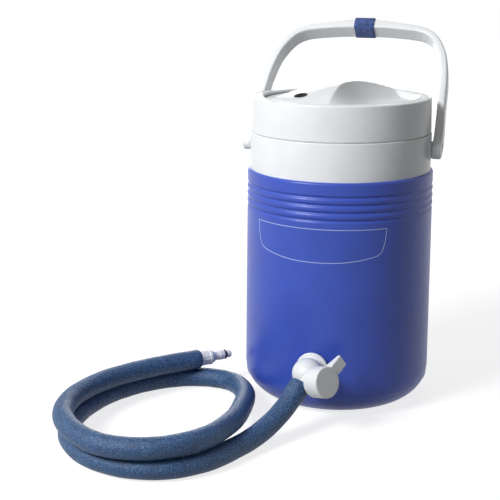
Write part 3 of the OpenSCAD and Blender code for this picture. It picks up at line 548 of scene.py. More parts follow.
def webbing(name, colour):
    """Woven tape: rows of short warp floats, each second row shifted by half a float."""
    shader = Shader(name, 0.85, IOR=1.4, Sheen_Weight=0.3)
    weave = shader.add("ShaderNodeAttribute", attribute_name="weave").outputs["Vector"]
    brick = shader.add("ShaderNodeTexBrick", Scale=1.0, offset=0.5)
    for socket, value in (("Brick Width", 2.2), ("Row Height", 0.9), ("Mortar Size", 0.16),
                          ("Mortar Smooth", 1.0)):
        brick.inputs[socket].default_value = value
    shader.link(weave, brick.inputs["Vector"])
    fibres = shader.noise(430.0, 5.0, 0.75)
    flecks = shader.sums(shader.between(brick.outputs["Fac"], 0.0, 1.0, 0.0, -0.35), fibres)
    shader.colours(flecks, [(0.26, shade(colour, 0.15)), (0.42, colour), (0.58, shade(colour, 3.2))])
    rows = shader.bump(shader.scaled(brick.outputs["Fac"], -1.0), 0.35 * MM, 0.8)
    shader.bump(fibres, 0.2 * MM, 0.4, after=rows)
    return shader.material


def moulded_rubber(name, colour):
    """Rubber with a dull bloom."""
    shader = Shader(name, 0.62, IOR=1.52)
    shader.colours(shader.noise(160.0, 4.0), [(0.35, shade(colour, 0.8)), (0.7, shade(colour, 1.5))])
    shader.roughness(shader.noise(600.0), 0.5, 0.75)
    shader.bump(shader.noise(1100.0), 0.03 * MM, 0.5)
    return shader.material


def drawn_metal(name, colour):
    """Metal with fine draw lines along X."""
    shader = Shader(name, 0.32, Metallic=1.0)
    lines = shader.add("ShaderNodeMapping", vector_type="POINT")
    lines.inputs["Scale"].default_value = (60.0, 900.0, 900.0)
    shader.link(shader.place, lines.inputs["Vector"])
    streaks = shader.noise(1.0, 4.0, 0.6, lines.outputs["Vector"])
    shader.colours(streaks, [(0.3, shade(colour, 0.82)), (0.7, shade(colour, 1.1))])
    shader.roughness(streaks, 0.26, 0.42)
    shader.bump(streaks, 0.01 * MM, 0.6)
    return shader.material


def cast_foam(name, colour):
    """Rigid foam with open cells."""
    shader = Shader(name, 0.95)
    cells = shader.cells(700.0)
    shader.colours(cells, [(0.1, shade(colour, 0.72)), (0.55, colour)])
    shader.bump(cells, 0.4 * MM, 0.8)
    return shader.material


def clear_tube(name):
    """Soft tube that has gone a little milky."""
    shader = Shader(name, 0.22, IOR=1.43, Transmission_Weight=0.75)
    shader.colours(shader.noise(220.0), [(0.3, srgb(214, 220, 222)), (0.7, srgb(232, 236, 238))])
    shader.bump(shader.noise(800.0), 0.02 * MM, 0.4)
    return shader.material


# ---- Stage ----

class THERAPYJUG_OT_camera(Operator):
    """Camera at the photograph's viewing angle"""
    bl_idname = "therapyjug.camera"
    bl_label = "Camera"

    def execute(self, context):
        spot = Vector((0.24906, -1.03742, 0.41940))
        right = Vector((0.94926, 0.31449, 0.0))
        up = Vector((-0.07842, 0.23671, 0.96841))
        back = Vector((0.30455, -0.91927, 0.24937))
        lens = bpy.data.cameras.new("camera")
        lens.sensor_width, lens.lens = 36.0, 77.57
        camera = bpy.data.objects.new("camera", lens)
        context.scene.collection.objects.link(camera)
        turn = Matrix((right, up, back)).transposed()
        camera.matrix_world = Matrix.Translation(spot) @ turn.to_4x4()
        context.scene.camera = camera
        return {"FINISHED"}


def shown(tree, plain, white):
    """Shows one shader to the camera and to mirror and glass rays, and another to the rays that light."""
    paths = tree.nodes.new("ShaderNodeLightPath")
    pick = tree.nodes.new("ShaderNodeMixShader")
    seen = paths.outputs["Is Camera Ray"]
    for name in ("Is Glossy Ray", "Is Transmission Ray"):
        either = tree.nodes.new("ShaderNodeMath")
        either.operation = "MAXIMUM"
        tree.links.new(seen, either.inputs[0])
        tree.links.new(paths.outputs[name], either.inputs[1])
        seen = either.outputs[0]
    for socket, start in zip(pick.inputs, (seen, plain, white)):
        tree.links.new(start, socket)
    return pick.outputs[0]


class THERAPYJUG_OT_stage(Operator):
    """Pale floor, white surroundings and soft lamps"""
    bl_idname = "therapyjug.stage"
    bl_label = "Stage and light"

    def execute(self, context):
        scene = context.scene
        scene.view_settings.view_transform = "Standard"
        self.floor()
        self.surroundings(scene)
        self.lamp("key", (-0.82, -1.22, 1.20), 0.6, 31.5)
        self.lamp("top", (-0.25, 0.20, 1.60), 1.0, 1.0)
        self.lamp("rim", (1.10, 0.55, 0.60), 0.7, 0.5)
        self.lamp("back", (-0.62, 1.58, 0.24), 0.8, 9.0)
        return {"FINISHED"}

    def floor(self):
        half = 6.0
        corners = [(-half, -half, 0), (half, -half, 0), (half, half, 0), (-half, half, 0)]
        floor = new_piece("floor", (corners, [(0, 1, 2, 3)]))
        shader = Shader("floor_paper", 0.9)
        shader.colours(shader.noise(4.0), [(0.3, srgb(148, 148, 148)), (0.7, srgb(154, 154, 154))])
        output = shader.tree.nodes["Material Output"]
        far = shader.add("ShaderNodeVectorMath", operation="LENGTH")
        shader.link(shader.place, far.inputs[0])
        level = shader.between(far.outputs["Value"], 0.35, 1.1, 0.78, 1.0)
        glow, both = shader.add("ShaderNodeEmission"), shader.add("ShaderNodeAddShader")
        shader.link(level, glow.inputs["Strength"])
        shader.link(shader.main.outputs[0], both.inputs[0])
        shader.link(glow.outputs[0], both.inputs[1])
        seen = shown(shader.tree, shader.main.outputs[0], both.outputs[0])
        shader.link(seen, output.inputs["Surface"])
        floor.data.materials.append(shader.material)

    def surroundings(self, scene):
        world = bpy.data.worlds.new("surroundings")
        scene.world = world
        world.use_nodes = True
        tree = world.node_tree
        ambient = tree.nodes["Background"]
        ambient.inputs["Strength"].default_value = 0.11
        ambient.inputs["Color"].default_value = (1, 1, 1, 1)
        white = tree.nodes.new("ShaderNodeBackground")
        white.inputs["Color"].default_value = (1, 1, 1, 1)
        seen = shown(tree, ambient.outputs[0], white.outputs[0])
        tree.links.new(seen, tree.nodes["World Output"].inputs["Surface"])

    def lamp(self, name, place, size, power):
        light = bpy.data.lights.new(name, "AREA")
        light.shape, light.size, light.energy = "DISK", size, power
        lamp = bpy.data.objects.new(name, light)
        bpy.context.scene.collection.objects.link(lamp)
        target = Vector((0, 0, 0.17))
        lamp.location = place
        lamp.rotation_euler = (target - Vector(place)).to_track_quat("-Z", "Y").to_euler()


# ---- Hose and coupling ----

class THERAPYJUG_OT_hose(Operator):
    """Insulated hose with its knitted sleeve, and the coupling at its end"""
    bl_idname = "therapyjug.hose"
    bl_label = "Hose and coupling"

    def execute(self, context):
        sizes, colours = context.scene.jug_sizes, context.scene.jug_colours
        line = evenly(smooth_line(HOSE_ROUTE, 24), HOSE_STEP / MM) * MM
        into_tap = [line[0] + (line[0] - line[1]) * k for k in range(STEPS_INTO_TAP, 0, -1)]
        knit = knitted("hose_knit", colours.hose, colours.hose_dark, colours.hose_light)
        hose = self.hose(sizes, np.vstack([into_tap, line]), knit)
        white = moulded("coupling_plastic", colours.white, 0.32)
        coupling = self.coupling(line, white, moulded_rubber("coupling_rubber", colours.rubber))
        return {"FINISHED"}

    @staticmethod
    def run(line):
        """Length of a line."""
        return float(np.linalg.norm(np.diff(line, axis=0), axis=1).sum())

    def hose(self, sizes, line, material):
        """The sleeve swells over the tap's barb, puckers inside the bends and is cut square."""
        sides, radius, lip = 40, sizes.hose_radius, 1.4 * MM
        tangents, across, ups = along(line)
        bend = np.gradient(tangents, axis=0) / np.linalg.norm(np.gradient(line, axis=0), axis=1)[:, None]
        run = np.arange(len(line)) * np.linalg.norm(line[1] - line[0])
        from_end = np.minimum(run, run[-1] - run)
        swell = CUFF * (1 - smooth_step(12 * MM, 17 * MM, run))
        sections = []
        for i in range(len(line)):
            ends = math.sqrt(max(0.0, 1 - (1 - min(1.0, from_end[i] / lip)) ** 2))
            ring = []
            for k in range(sides):
                angle = math.tau * k / sides
                outward = across[i] * math.cos(angle) + ups[i] * math.sin(angle)
                inside = max(0.0, float(np.dot(outward, bend[i])) * 40 * MM)
                pucker = 0.22 * MM * inside * math.sin(run[i] / (2.3 * MM))
                wander = math.sin(run[i] / (17 * MM) + 2 * angle) * math.sin(run[i] / (5.3 * MM))
                size = radius - HOSE_SKIN - lip * (1 - ends) * 0.55 + pucker + 0.10 * MM * wander + swell[i]
                ring.append((size * math.cos(angle), size * math.sin(angle)))
            sections.append(ring)
        piece = new_piece("hose", swept(line, sections))
        return dressed(piece, "jug", material, ["hose"], 60)

    def coupling(self, line, white, rubber):
        """Grip sleeve with shallow ribs, plug with a shoulder, seal ring and nose."""
        place = frame_along(line[-1] - line[-2], line[-1])
        waist = WAIST_R / MM
        sleeve = rounded([(0, 0.1, 0), (7.9, 0.1, 0.5), (7.9, 3.2, 0.3), (waist, 3.7, 0.3),
                          (waist, 10.2, 0.3), (7.9, 10.7, 0.3), (7.9, 13.2, 0.7), (6.4, 14.2, 0.5),
                          (6.4, 16, 0.4), (0, 16, 0)], 4)
        plug = rounded([(0, 16.1, 0), (5.0, 16.1, 0.2), (5.0, 18.4, 0.2), (4.7, 18.8, 0.2), (4.7, 22.2, 0.2),
                        (5.0, 22.6, 0.2), (5.0, 28.2, 0.3), (3.6, 28.5, 0.1), (3.6, 30.9, 0.1),
                        (4.0, 30.9, 0.2), (4.0, 35.4, 0.2), (3.1, 36.3, 0.3), (2.2, 36.3, 0.2), (2.2, 25, 0),
                        (0, 25, 0)], 4)
        ring = arc((3.9, 29.7), 1.1, 0, 360, 20)[:-1]
        pieces = []
        for name, outline, material, slot, node in (
                ("coupling_sleeve_skin", sleeve, white, "coupling_white", "coupling_sleeve"),
                ("coupling_plug_skin", plug, white, "coupling_white", "coupling_plug"),
                ("coupling_ring_skin", ring, rubber, "seal_black", "coupling_oring")):
            shape = turned([(r * MM, z * MM) for r, z in outline], 72)
            if name == "coupling_sleeve_skin":
                shape = (self.ribbed(shape[0]), shape[1])
            pieces.append(dressed(new_piece(name, shape, place), "jug", material, [node]))
        return pieces

    @staticmethod
    def ribbed(verts):
        """Shallow grip ribs in the sunk waist of the sleeve."""
        grown = []
        for x, y, z in verts:
            radius = math.hypot(x, y)
            if abs(radius - WAIST_R) < 0.02 * MM:
                wanted = radius + 0.35 * MM * max(0.0, math.cos(GRIP_RIBS * math.atan2(y, x)))
                x, y = x * wanted / radius, y * wanted / radius
            grown.append((x, y, z))
        return grown


# ---- Jug ----

def shell_radius(z):
    """Radius of the shell's side at a height."""
    return SHELL_R + SHELL_FLARE * (SEAM_Z - z) / (SEAM_Z - FOOT_ROUND)


class THERAPYJUG_OT_shell(Operator):
    """Blue outer shell with soft grooves, rounded foot and the fine outline of its bare panel"""
    bl_idname = "therapyjug.shell"
    bl_label = "Outer shell"

    def execute(self, context):
        sizes, colours = context.scene.jug_sizes, context.scene.jug_colours
        skin = peel_plastic("shell_plastic", colours.shell)
        shell = new_piece("shell_skin", turned(self.outline(sizes), 288))
        hole = rod(SHANK_R + 0.3 * MM, -110 * MM, -70 * MM, frame_along((0, 1, 0), (0, 0, TAP_Z)))
        bored(shell, [hole])
        dressed(shell, "jug", skin, ["outer_shell"], 50)
        self.panel_line(sizes, moulded("outline_ink", colours.outline, 0.5))
        return {"FINISHED"}

    def outline(self, sizes):
        foot = (SHELL_R + SHELL_FLARE - FOOT_ROUND, FOOT_ROUND)
        crease = arc(foot, FOOT_ROUND, CREASE_ANGLE, CREASE_ANGLE, 1)[0]
        outside = [(0, 0.6 * MM), (foot[0] - 9 * MM, 0.6 * MM), (foot[0] - 7 * MM, 0)]
        outside += arc(foot, FOOT_ROUND, 0, CREASE_ANGLE, 22)
        outside += [(crease[0] + 0.15 * MM, crease[1] + 0.25 * MM),
                    (crease[0] + FOOT_LEDGE - 0.2 * MM, crease[1] + 0.45 * MM),
                    (crease[0] + FOOT_LEDGE, crease[1] + 0.8 * MM)]
        top = SEAM_Z - TOP_ROUND
        outside += [(shell_radius(z), z) for z in np.arange(FOOT_ROUND, GROOVES_FROM_Z, 6 * MM)]
        outside += [(self.grooved(sizes, z), z) for z in np.arange(GROOVES_FROM_Z, top, 0.55 * MM)]
        outside += arc((SHELL_R - TOP_ROUND, top), TOP_ROUND, 90, 180, 8)
        inside = [(SHELL_R - SHELL_WALL, SEAM_Z)]
        inside += arc(foot, FOOT_ROUND - SHELL_WALL, 90, 0, 16) + [(0, SHELL_WALL)]
        return outside + inside

    @staticmethod
    def grooved(sizes, z):
        """Radius with the grooves and the slight swell of the ribs between them."""
        radius, half = shell_radius(z), sizes.groove_width / 2
        for i in range(sizes.groove_count):
            off = z - (SEAM_Z - sizes.groove_drop - i * sizes.groove_pitch)
            if abs(off) < half:
                radius -= sizes.groove_depth * (0.5 + 0.5 * math.cos(math.pi * off / half)) ** 0.8
            if 0 <= i < sizes.groove_count - 1 and -sizes.groove_pitch + half < off < -half:
                place = (-half - off) / (sizes.groove_pitch - 2 * half)
                radius += sizes.rib_bulge * math.sin(math.pi * place)
        return radius

    def panel_line(self, sizes, ink):
        """A thin raised line: a straight top, slightly sloping sides and a bowed foot."""
        corners = [(-42.7, 188), (42.7, 188), (41.6, 175), (38.6, 164.2), (31, 160.2), (16, 156.8), (0, 156),
                   (-16, 156.8), (-31, 160.2), (-38.6, 164.2), (-41.6, 175)]
        top = [(a, 188) for a in np.linspace(-42.7, 42.7, 60)]
        side = smooth_line([(*c, 0) for c in corners[1:] + corners[:1]], 12)[1:-1, :2]
        spots = np.array(top + side.tolist())
        angles, heights = np.radians(spots[:, 0]), spots[:, 1] * MM
        radii = np.array([shell_radius(z) for z in heights]) + 0.02 * MM
        line = np.stack([radii * np.sin(angles), -radii * np.cos(angles), heights], axis=1)
        outward = np.stack([np.sin(angles), -np.cos(angles), np.zeros(len(angles))], axis=1)
        ahead = np.roll(line, -1, axis=0) - np.roll(line, 1, axis=0)
        across = np.cross(outward, ahead)
        across /= np.linalg.norm(across, axis=1)[:, None]
        section = [(-0.5, -0.3), (-0.42, 0.10), (0.42, 0.10), (0.5, -0.3)]
        verts = []
        for spot, side_way, out in zip(line, across, outward):
            verts += [tuple(spot + side_way * a * sizes.line_width + out * b * MM) for a, b in section]
        faces = tube_faces(len(line), len(section), closed=True)
        dressed(new_piece("panel_outline", (verts, faces)), "jug", ink)


def thread(radius, low, rise):
    """A plain thread ring's outline on a wall, from its foot up, standing in or out by its rise."""
    return [(radius, low, 0), (radius + rise, low + THREAD_W * 0.35, 0.2 * MM),
            (radius + rise, low + THREAD_W * 0.65, 0.2 * MM), (radius, low + THREAD_W, 0)]


class THERAPYJUG_OT_collar(Operator):
    """White collar with its threaded neck and the bosses of the handle"""
    bl_idname = "therapyjug.collar"
    bl_label = "Collar"

    def execute(self, context):
        colours = context.scene.jug_colours
        wall, skirt, top = 2.5 * MM, SEAM_Z - 10 * MM, LID_Z - 0.3 * MM
        corners = [(COLLAR_R, skirt, 0.4 * MM), (COLLAR_R, top, 0.9 * MM), (NECK_R, top, 0.4 * MM)]
        for i in range(2):
            corners += thread(NECK_R, top + 2.8 * MM + i * THREAD_PITCH, THREAD_H)
        corners += [(NECK_R, NECK_Z, 0.5 * MM), (LINER_R + 0.1 * MM, NECK_Z, 0.3 * MM),
                    (LINER_R + 0.1 * MM, top - 30 * MM, 0.3 * MM), (NECK_R, top - 30 * MM, 0.3 * MM),
                    (NECK_R, top - wall, 0.6 * MM), (COLLAR_R - wall, top - wall, 1 * MM),
                    (COLLAR_R - wall, skirt, 0.4 * MM)]
        collar = new_piece("collar_skin", turned(rounded(corners, 5), 240))
        pieces = [collar]
        boss = rounded([(0, BOSS_FOOT_X, 0), (BOSS_FOOT_R, BOSS_FOOT_X, 0), (BOSS_FOOT_R, 87.8 * MM, 0),
                        (8.9 * MM, BOSS_X - 1.1 * MM, 1.5 * MM), (8.5 * MM, BOSS_X, 0.6 * MM),
                        (PIN_BORE_R, BOSS_X, 0.2 * MM), (PIN_BORE_R, BOSS_X - PIN_BORE, 0),
                        (0, BOSS_X - PIN_BORE, 0)], 5)
        pieces += [new_piece("boss", turned(boss, 64), place) for place in PIVOT_FRAMES]
        white = moulded("collar_plastic", colours.white, 0.36)
        dressed(joined("collar_skin_all", pieces), "jug", white, ["collar"], 45)
        return {"FINISHED"}


# ---- Lid ----

class THERAPYJUG_OT_lid_ring(Operator):
    """White side of the lid with the beaded ring round its top"""
    bl_idname = "therapyjug.lid_ring"
    bl_label = "Lid ring"

    def execute(self, context):
        colours = context.scene.jug_colours
        inner, rim = PANEL_R + 0.1 * MM, RIM_Z
        corners = [(LID_BORE_R, LID_Z, 0.3 * MM), (LID_R - 0.8 * MM, LID_Z, 0.3 * MM),
                   (LID_R, LID_Z + 1.1 * MM, 0.5 * MM), (RIM_R, rim - 0.5 * MM, 1.5 * MM),
                   (RIM_R - 1.6 * MM, rim, 0.4 * MM), (RIM_R - 1.9 * MM, rim - 0.45 * MM, 0.2 * MM),
                   (RIM_R - 2.7 * MM, rim - 0.45 * MM, 0.2 * MM),
                   (RIM_R - 3.0 * MM, rim - 0.1 * MM, 0.2 * MM),
                   (inner + 2.6 * MM, rim - 0.1 * MM, 0.2 * MM), (inner + 2.3 * MM, rim - 0.5 * MM, 0.2 * MM),
                   (inner + 1.7 * MM, rim - 0.5 * MM, 0.2 * MM), (inner + 1.4 * MM, rim, 0.3 * MM),
                   (inner, rim - 0.1 * MM, 0.5 * MM), (inner, rim - 2.5 * MM, 0),
                   (LID_BORE_R, rim - 2.5 * MM, 0.8 * MM),
                   (LID_BORE_R, SHELF_Z + 2.2 * MM, 0.8 * MM), (SHELF_R, SHELF_Z + 2.2 * MM, 0),
                   (SHELF_R, SHELF_Z, 0), (LID_BORE_R, SHELF_Z, 0.4 * MM)]
        for i in (1, 0):
            low = LID_Z + LID_THREAD_LIFT + i * THREAD_PITCH
            corners += thread(LID_BORE_R, low, -LID_THREAD_H)[::-1]
        ring = new_piece("lid_ring", turned(rounded(corners, 6), 256))
        dressed(ring, "lid", moulded("lid_plastic", colours.white, 0.33), ["lid_cap"], 45)
        return {"FINISHED"}


def panel_height(sizes, x, y):
    """Height of the lid's top above the rim, all in millimetres: a ridge with a low side, and a scoop."""
    radius, depth = PANEL_R / MM, sizes.scoop_depth / MM
    flank = FLANK_X + FLANK_BEND * np.maximum(0, y - FLANK_FROM) ** 2
    off = np.maximum(0, CREST_X - np.minimum(x, flank))
    knee = RIDGE_SLOPE / (2 * CREST_CURVE)
    beyond = CREST_CURVE * knee * knee + RIDGE_SLOPE * (off - knee)
    fall = np.where(off < knee, CREST_CURVE * off * off, beyond)
    ridge = (sizes.crest_height / MM - fall) * (1 - np.abs(y / RIDGE_HALF) ** RIDGE_POWER)
    side = 1 - (1 - np.clip((x - flank + FLANK_START) / FLANK_W, 0, 1)) ** FLANK_POWER
    scoop = -depth * (1 - smooth_step(SCOOP_FLAT * radius, radius, np.hypot(x, y)))
    low = smooth_step(LOW_END - LOW_BLEND, LOW_END + LOW_BLEND, x)
    return np.maximum(-depth, low * ((1 - side) * ridge + side * scoop) - (1 - low) * LOW_DROP)


class THERAPYJUG_OT_grip_panel(Operator):
    """Top of the lid: grip ridge, finger scoop and the plate that carries the power socket"""
    bl_idname = "therapyjug.grip_panel"
    bl_label = "Grip panel"

    def execute(self, context):
        sizes, colours = context.scene.jug_sizes, context.scene.jug_colours
        rings, steps = 96, 288
        radius = PANEL_R / MM - 0.05
        r = np.concatenate([[0], np.repeat(radius * np.arange(1, rings + 1) / rings, steps)])
        a = np.concatenate([[0], np.tile(math.tau * np.arange(steps) / steps, rings)])
        x, y = r * np.cos(a), r * np.sin(a)
        top = panel_height(sizes, x, y)
        verts = [(px * MM, py * MM, RIM_Z + pz * MM) for px, py, pz in zip(x, y, top)]
        verts += [(vx, vy, vz - sizes.panel_thickness) for vx, vy, vz in verts]
        count = len(top)
        upper = [(0, 1 + k, 1 + (k + 1) % steps) for k in range(steps)]
        for i in range(rings - 1):
            low, high = 1 + i * steps, 1 + (i + 1) * steps
            upper += [(low + k, high + k, high + (k + 1) % steps, low + (k + 1) % steps)
                      for k in range(steps)]
        last = 1 + (rings - 1) * steps
        edge = [(last + k, last + (k + 1) % steps, last + (k + 1) % steps + count, last + k + count)
                for k in range(steps)]
        lower = [tuple(v + count for v in face[::-1]) for face in upper]
        panel = new_piece("lid_panel", (verts, upper + edge + lower))
        bored(panel, [rod(SOCKET_R + 0.1 * MM, -8 * MM, 8 * MM, port_frame(sizes))])
        white = moulded("panel_plastic", colours.white, 0.36)
        dressed(panel, "lid", white, ["grip_panel"], 30)
        return {"FINISHED"}


def port_frame(sizes):
    """Place and slope of the power socket."""
    def height(x, y):
        return float(panel_height(sizes, np.array(x), np.array(y)))
    x, y = PORT_AT
    normal = Vector((height(x - 1, y) - height(x + 1, y), height(x, y - 1) - height(x, y + 1), 2))
    return frame_along(normal, (x * MM, y * MM, RIM_Z + height(x, y) * MM))


class THERAPYJUG_OT_socket(Operator):
    """Black power socket with its lip, and the contact pin inside it"""
    bl_idname = "therapyjug.socket"
    bl_label = "Power socket"

    def execute(self, context):
        sizes, colours = context.scene.jug_sizes, context.scene.jug_colours
        place = port_frame(sizes)
        outline = rounded([(0, -12, 0), (5, -12, 0.4), (5, 0.2, 0), (6.4, 0.2, 0.2), (6.4, 1.0, 0.5),
                           (4.4, 1.0, 0.3), (4.0, 0.6, 0.2), (3.1, 0.6, 0.3), (2.8, 0.1, 0), (2.8, -8, 0),
                           (0, -8, 0)], 5)
        black = moulded("socket_plastic", shade(colours.rubber, 0.4), 0.6, Specular_IOR_Level=0.15)
        socket = new_piece("power_socket_skin", turned([(r * MM, z * MM) for r, z in outline], 72), place)
        dressed(socket, "lid", black, ["power_socket"])
        pin = rod(1.0 * MM, -8.2 * MM, -1.2 * MM, place, 24, 0.35 * MM)
        pin.name = "contact_pin"
        dressed(pin, "lid", drawn_metal("contact_steel", colours.steel))
        return {"FINISHED"}


# ---- Handle ----

def handle_line(sizes):
    """The handle's middle line in its own upright plane, with its thickness outwards and inwards."""
    x, rise, hub, band = BAND_X, HANDLE_RISE, sizes.hub_thickness / 2, sizes.band_thickness / 2
    swell, palm = sizes.grip_swell, sizes.grip_palm
    half = [(x, 0, hub, hub), (x + 0.2 * MM, 0.09 * rise, hub - 0.1 * MM, hub - 0.1 * MM),
            (x - 2.2 * MM, 0.34 * rise, band + 0.3 * MM, band + 0.3 * MM),
            (x - 4.3 * MM, 0.575 * rise, band, band), (x - 10.6 * MM, 0.78 * rise, band, band),
            (x - 26.5 * MM, 0.935 * rise, band, band),
            (0.415 * x, 0.985 * rise, band + 0.3 * swell, band + 0.3 * palm),
            (0, rise, band + swell, band + palm)]
    whole = half + [(-a, b, c, d) for a, b, c, d in half[-2::-1]]
    return evenly(smooth_line([(a, 0, b, c, d) for a, b, c, d in whole], 16), 2.2 * MM)


class THERAPYJUG_OT_handle(Operator):
    """White bail handle with its round ends"""
    bl_idname = "therapyjug.handle"
    bl_label = "Handle"

    def execute(self, context):
        sizes, colours = context.scene.jug_sizes, context.scene.jug_colours
        line, wide, hub = handle_line(sizes), sizes.band_width / 2, sizes.hub_thickness / 2
        sections = [rounded([(-wide, -inner, 1.7 * MM), (wide, -inner, 1.7 * MM), (wide, outer, 2.4 * MM),
                             (-wide, outer, 2.4 * MM)], 5) for outer, inner in line[:, 3:]]
        band = new_piece("band", swept(line[:, :3], sections, up=(1, 0, 0)), HANDLE_FRAME)
        pieces = [band]
        pieces += [rod(wide, BAND_X - hub, BAND_X + hub, place, 72, 1.7 * MM) for place in PIVOT_FRAMES]
        handle = fused("handle_skin", pieces, 0.75 * MM, 4)
        bores = []
        for place in PIVOT_FRAMES:
            bores.append(rod(4.1 * MM, 80 * MM, 120 * MM, place, 48))
            bores.append(rod(6.7 * MM, PIN_FACE_X - 1.8 * MM, 120 * MM, place, 64))
        bored(handle, bores)
        white = moulded("handle_plastic", colours.white, 0.3)
        dressed(handle, "handle", white, ["handle_bail"], 50)
        return {"FINISHED"}


class THERAPYJUG_OT_strap(Operator):
    """Woven strap wrapped round the grip, with its end lapped over"""
    bl_idname = "therapyjug.strap"
    bl_label = "Strap"

    def execute(self, context):
        sizes, colours = context.scene.jug_sizes, context.scene.jug_colours
        wide = sizes.band_width / 2 + 0.25 * MM
        thick = (sizes.band_thickness + sizes.grip_swell + sizes.grip_palm) / 2 + 0.2 * MM
        t, half = sizes.strap_thickness, sizes.strap_width / 2
        loop = rounded([(-wide, -thick, 1.9 * MM), (wide, -thick, 1.9 * MM), (wide, thick, 2.6 * MM),
                        (-wide, thick, 2.6 * MM)], 8)
        step = 0.5 * MM
        loop = evenly(np.array([(a, b, 0) for a, b in loop + loop[:1]]), step)[:, :2]
        start = int(np.argmin(np.hypot(loop[:, 0] + 0.2 * wide, loop[:, 1] + thick)))
        loop = np.roll(loop[:-1], -start, axis=0)
        lap = int(round(9 * MM / step))
        path = np.vstack([loop, loop[:lap]])
        run = np.arange(len(path)) * step
        over = smooth_step(len(loop) - 6, len(loop) + 2, np.arange(len(path)))
        ahead = np.gradient(path, axis=0)
        outward = np.stack([ahead[:, 1], -ahead[:, 0]], axis=1)
        outward /= np.linalg.norm(outward, axis=1)[:, None]
        outward *= np.sign(np.sum(outward * path, axis=1).mean())
        verts, weave = [], []
        across = np.linspace(-1, 1, 15)
        for i, (spot, out, lift) in enumerate(zip(path, outward, over)):
            base = spot + out * (lift * (t + 0.08 * MM))
            for depth, order in ((t, across), (0.0, across[::-1])):
                for u in order:
                    edge = 0.22 * MM * max(0.0, abs(u) - 0.86) / 0.14
                    ripple = 0.06 * MM * math.sin(run[i] / (1.7 * MM) + 3 * u)
                    spot_out = base + out * (depth - edge + ripple if depth else edge)
                    sway = 0.15 * MM * math.sin(run[i] / (4 * MM))
                    verts.append((u * half + sway, spot_out[0], -spot_out[1]))
                    weave.append((run[i] / MM, u * half / MM, 0))
        faces = capped_tube(len(path), 2 * len(across))
        middle = HANDLE_RISE + (sizes.grip_swell - sizes.grip_palm) / 2
        place = HANDLE_FRAME @ Matrix.Translation((0, 0, middle))
        strap = new_piece("strap", (verts, faces), place)
        marks = strap.data.attributes.new("weave", "FLOAT_VECTOR", "POINT")
        marks.data.foreach_set("vector", np.array(weave, np.float32).ravel())
        dressed(strap, "handle", webbing("strap_webbing", colours.strap), ["handle_strap"], 60)
        return {"FINISHED"}


# ---- Tap ----

class THERAPYJUG_OT_tap_body(Operator):
    """Tap body: wall flange, neck, bonnet and the round valve housing that the sleeve runs into"""
    bl_idname = "therapyjug.tap_body"
    bl_label = "Tap body"

    def execute(self, context):
        sizes, colours = context.scene.jug_sizes, context.scene.jug_colours
        wall = shell_radius(TAP_Z)
        out = frame_along((0, -1, 0), (0, 0, TAP_Z))
        outlet = frame_along(OUTLET, BULB)
        pieces = [
            rod(15.8 * MM, wall + 1.2 * MM, wall + 4.6 * MM, out, 96, 1.2 * MM),
            rod(12.4 * MM, wall + 3 * MM, wall + 6.4 * MM, out, 96, 1.2 * MM),
            rod(NECK_BAR_R, wall + 2 * MM, -BULB.y - 2 * MM, out, 96, 0.5 * MM),
            rod(SHANK_R, 62.8 * MM, wall + 2 * MM, out, 96, 0.5 * MM),
            rod(BONNET_R, 0, BONNET_END, KNOB_FRAME, 72, 0.6 * MM),
            new_piece("bulb", turned(arc((0, 0), BULB_R, 0, 180, 48), 96), Matrix.Translation(BULB_MIDDLE)),
        ]
        body = fused("tap_body_skin", pieces, 0.42 * MM, 5)
        bores = [rod(PLUG_BORE_R, -7.5 * MM, 30 * MM, KNOB_FRAME, 64),
                 rod(21 * MM, BONNET_END, 40 * MM, KNOB_FRAME, 64),
                 rod(sizes.hose_radius + 0.3 * MM, MOUTH_START, 30 * MM, outlet, 72),
                 rod(FLOW_BORE_R, 50 * MM, -BULB.y - 5 * MM, out, 48)]
        bored(body, bores)
        dressed(body, "jug", moulded("tap_plastic", colours.white, 0.32), ["tap_body"], 50)
        return {"FINISHED"}


class THERAPYJUG_OT_knob(Operator):
    """Round knob of the tap with its wedge-shaped lever"""
    bl_idname = "therapyjug.knob"
    bl_label = "Tap knob"

    def execute(self, context):
        sizes, colours = context.scene.jug_sizes, context.scene.jug_colours
        back = BONNET_END + 0.3 * MM
        face = back + sizes.knob_thickness
        radius = sizes.knob_radius
        outline = rounded([(0, back, 0), (radius - 1.2 * MM, back, 0.5 * MM),
                           (radius, back + 1.2 * MM, 0.8 * MM), (radius, face - 0.2 * MM, 1.0 * MM),
                           (radius - 1.5 * MM, face, 0.5 * MM), (0, face, 0)], 5)
        drum = new_piece("drum", turned(outline, 128), KNOB_FRAME)
        half, reach, root = sizes.lever_width / 2, sizes.lever_reach, 8 * MM
        front, tip, deep = face - 2.4 * MM, face - 5.6 * MM, face - 14 * MM
        verts = [(x, y, z) for x in (-half, half)
                 for y, z in ((root, deep), (reach, tip), (reach, front), (root, front))]
        faces = [(0, 1, 2, 3), (7, 6, 5, 4), (0, 4, 5, 1), (1, 5, 6, 2), (2, 6, 7, 3), (3, 7, 4, 0)]
        lever = new_piece("lever", (verts, faces))
        edges = lever.modifiers.new("Edges", "BEVEL")
        edges.width, edges.segments = 0.7 * MM, 3
        finished(lever)
        lever.data.transform(KNOB_FRAME @ Matrix.Rotation(LEVER_TURN, 4, "Z"))
        knob = fused("tap_knob_skin", [drum, lever], 0.3 * MM, 3)
        bored(knob, [rod(4.05 * MM, back - 1 * MM, back + sizes.knob_thickness - 5 * MM, KNOB_FRAME, 48)])
        dressed(knob, "valve", moulded("knob_plastic", colours.white, 0.34), ["tap_knob"], 50)
        return {"FINISHED"}


# ---- Pieces that keep their shape ----

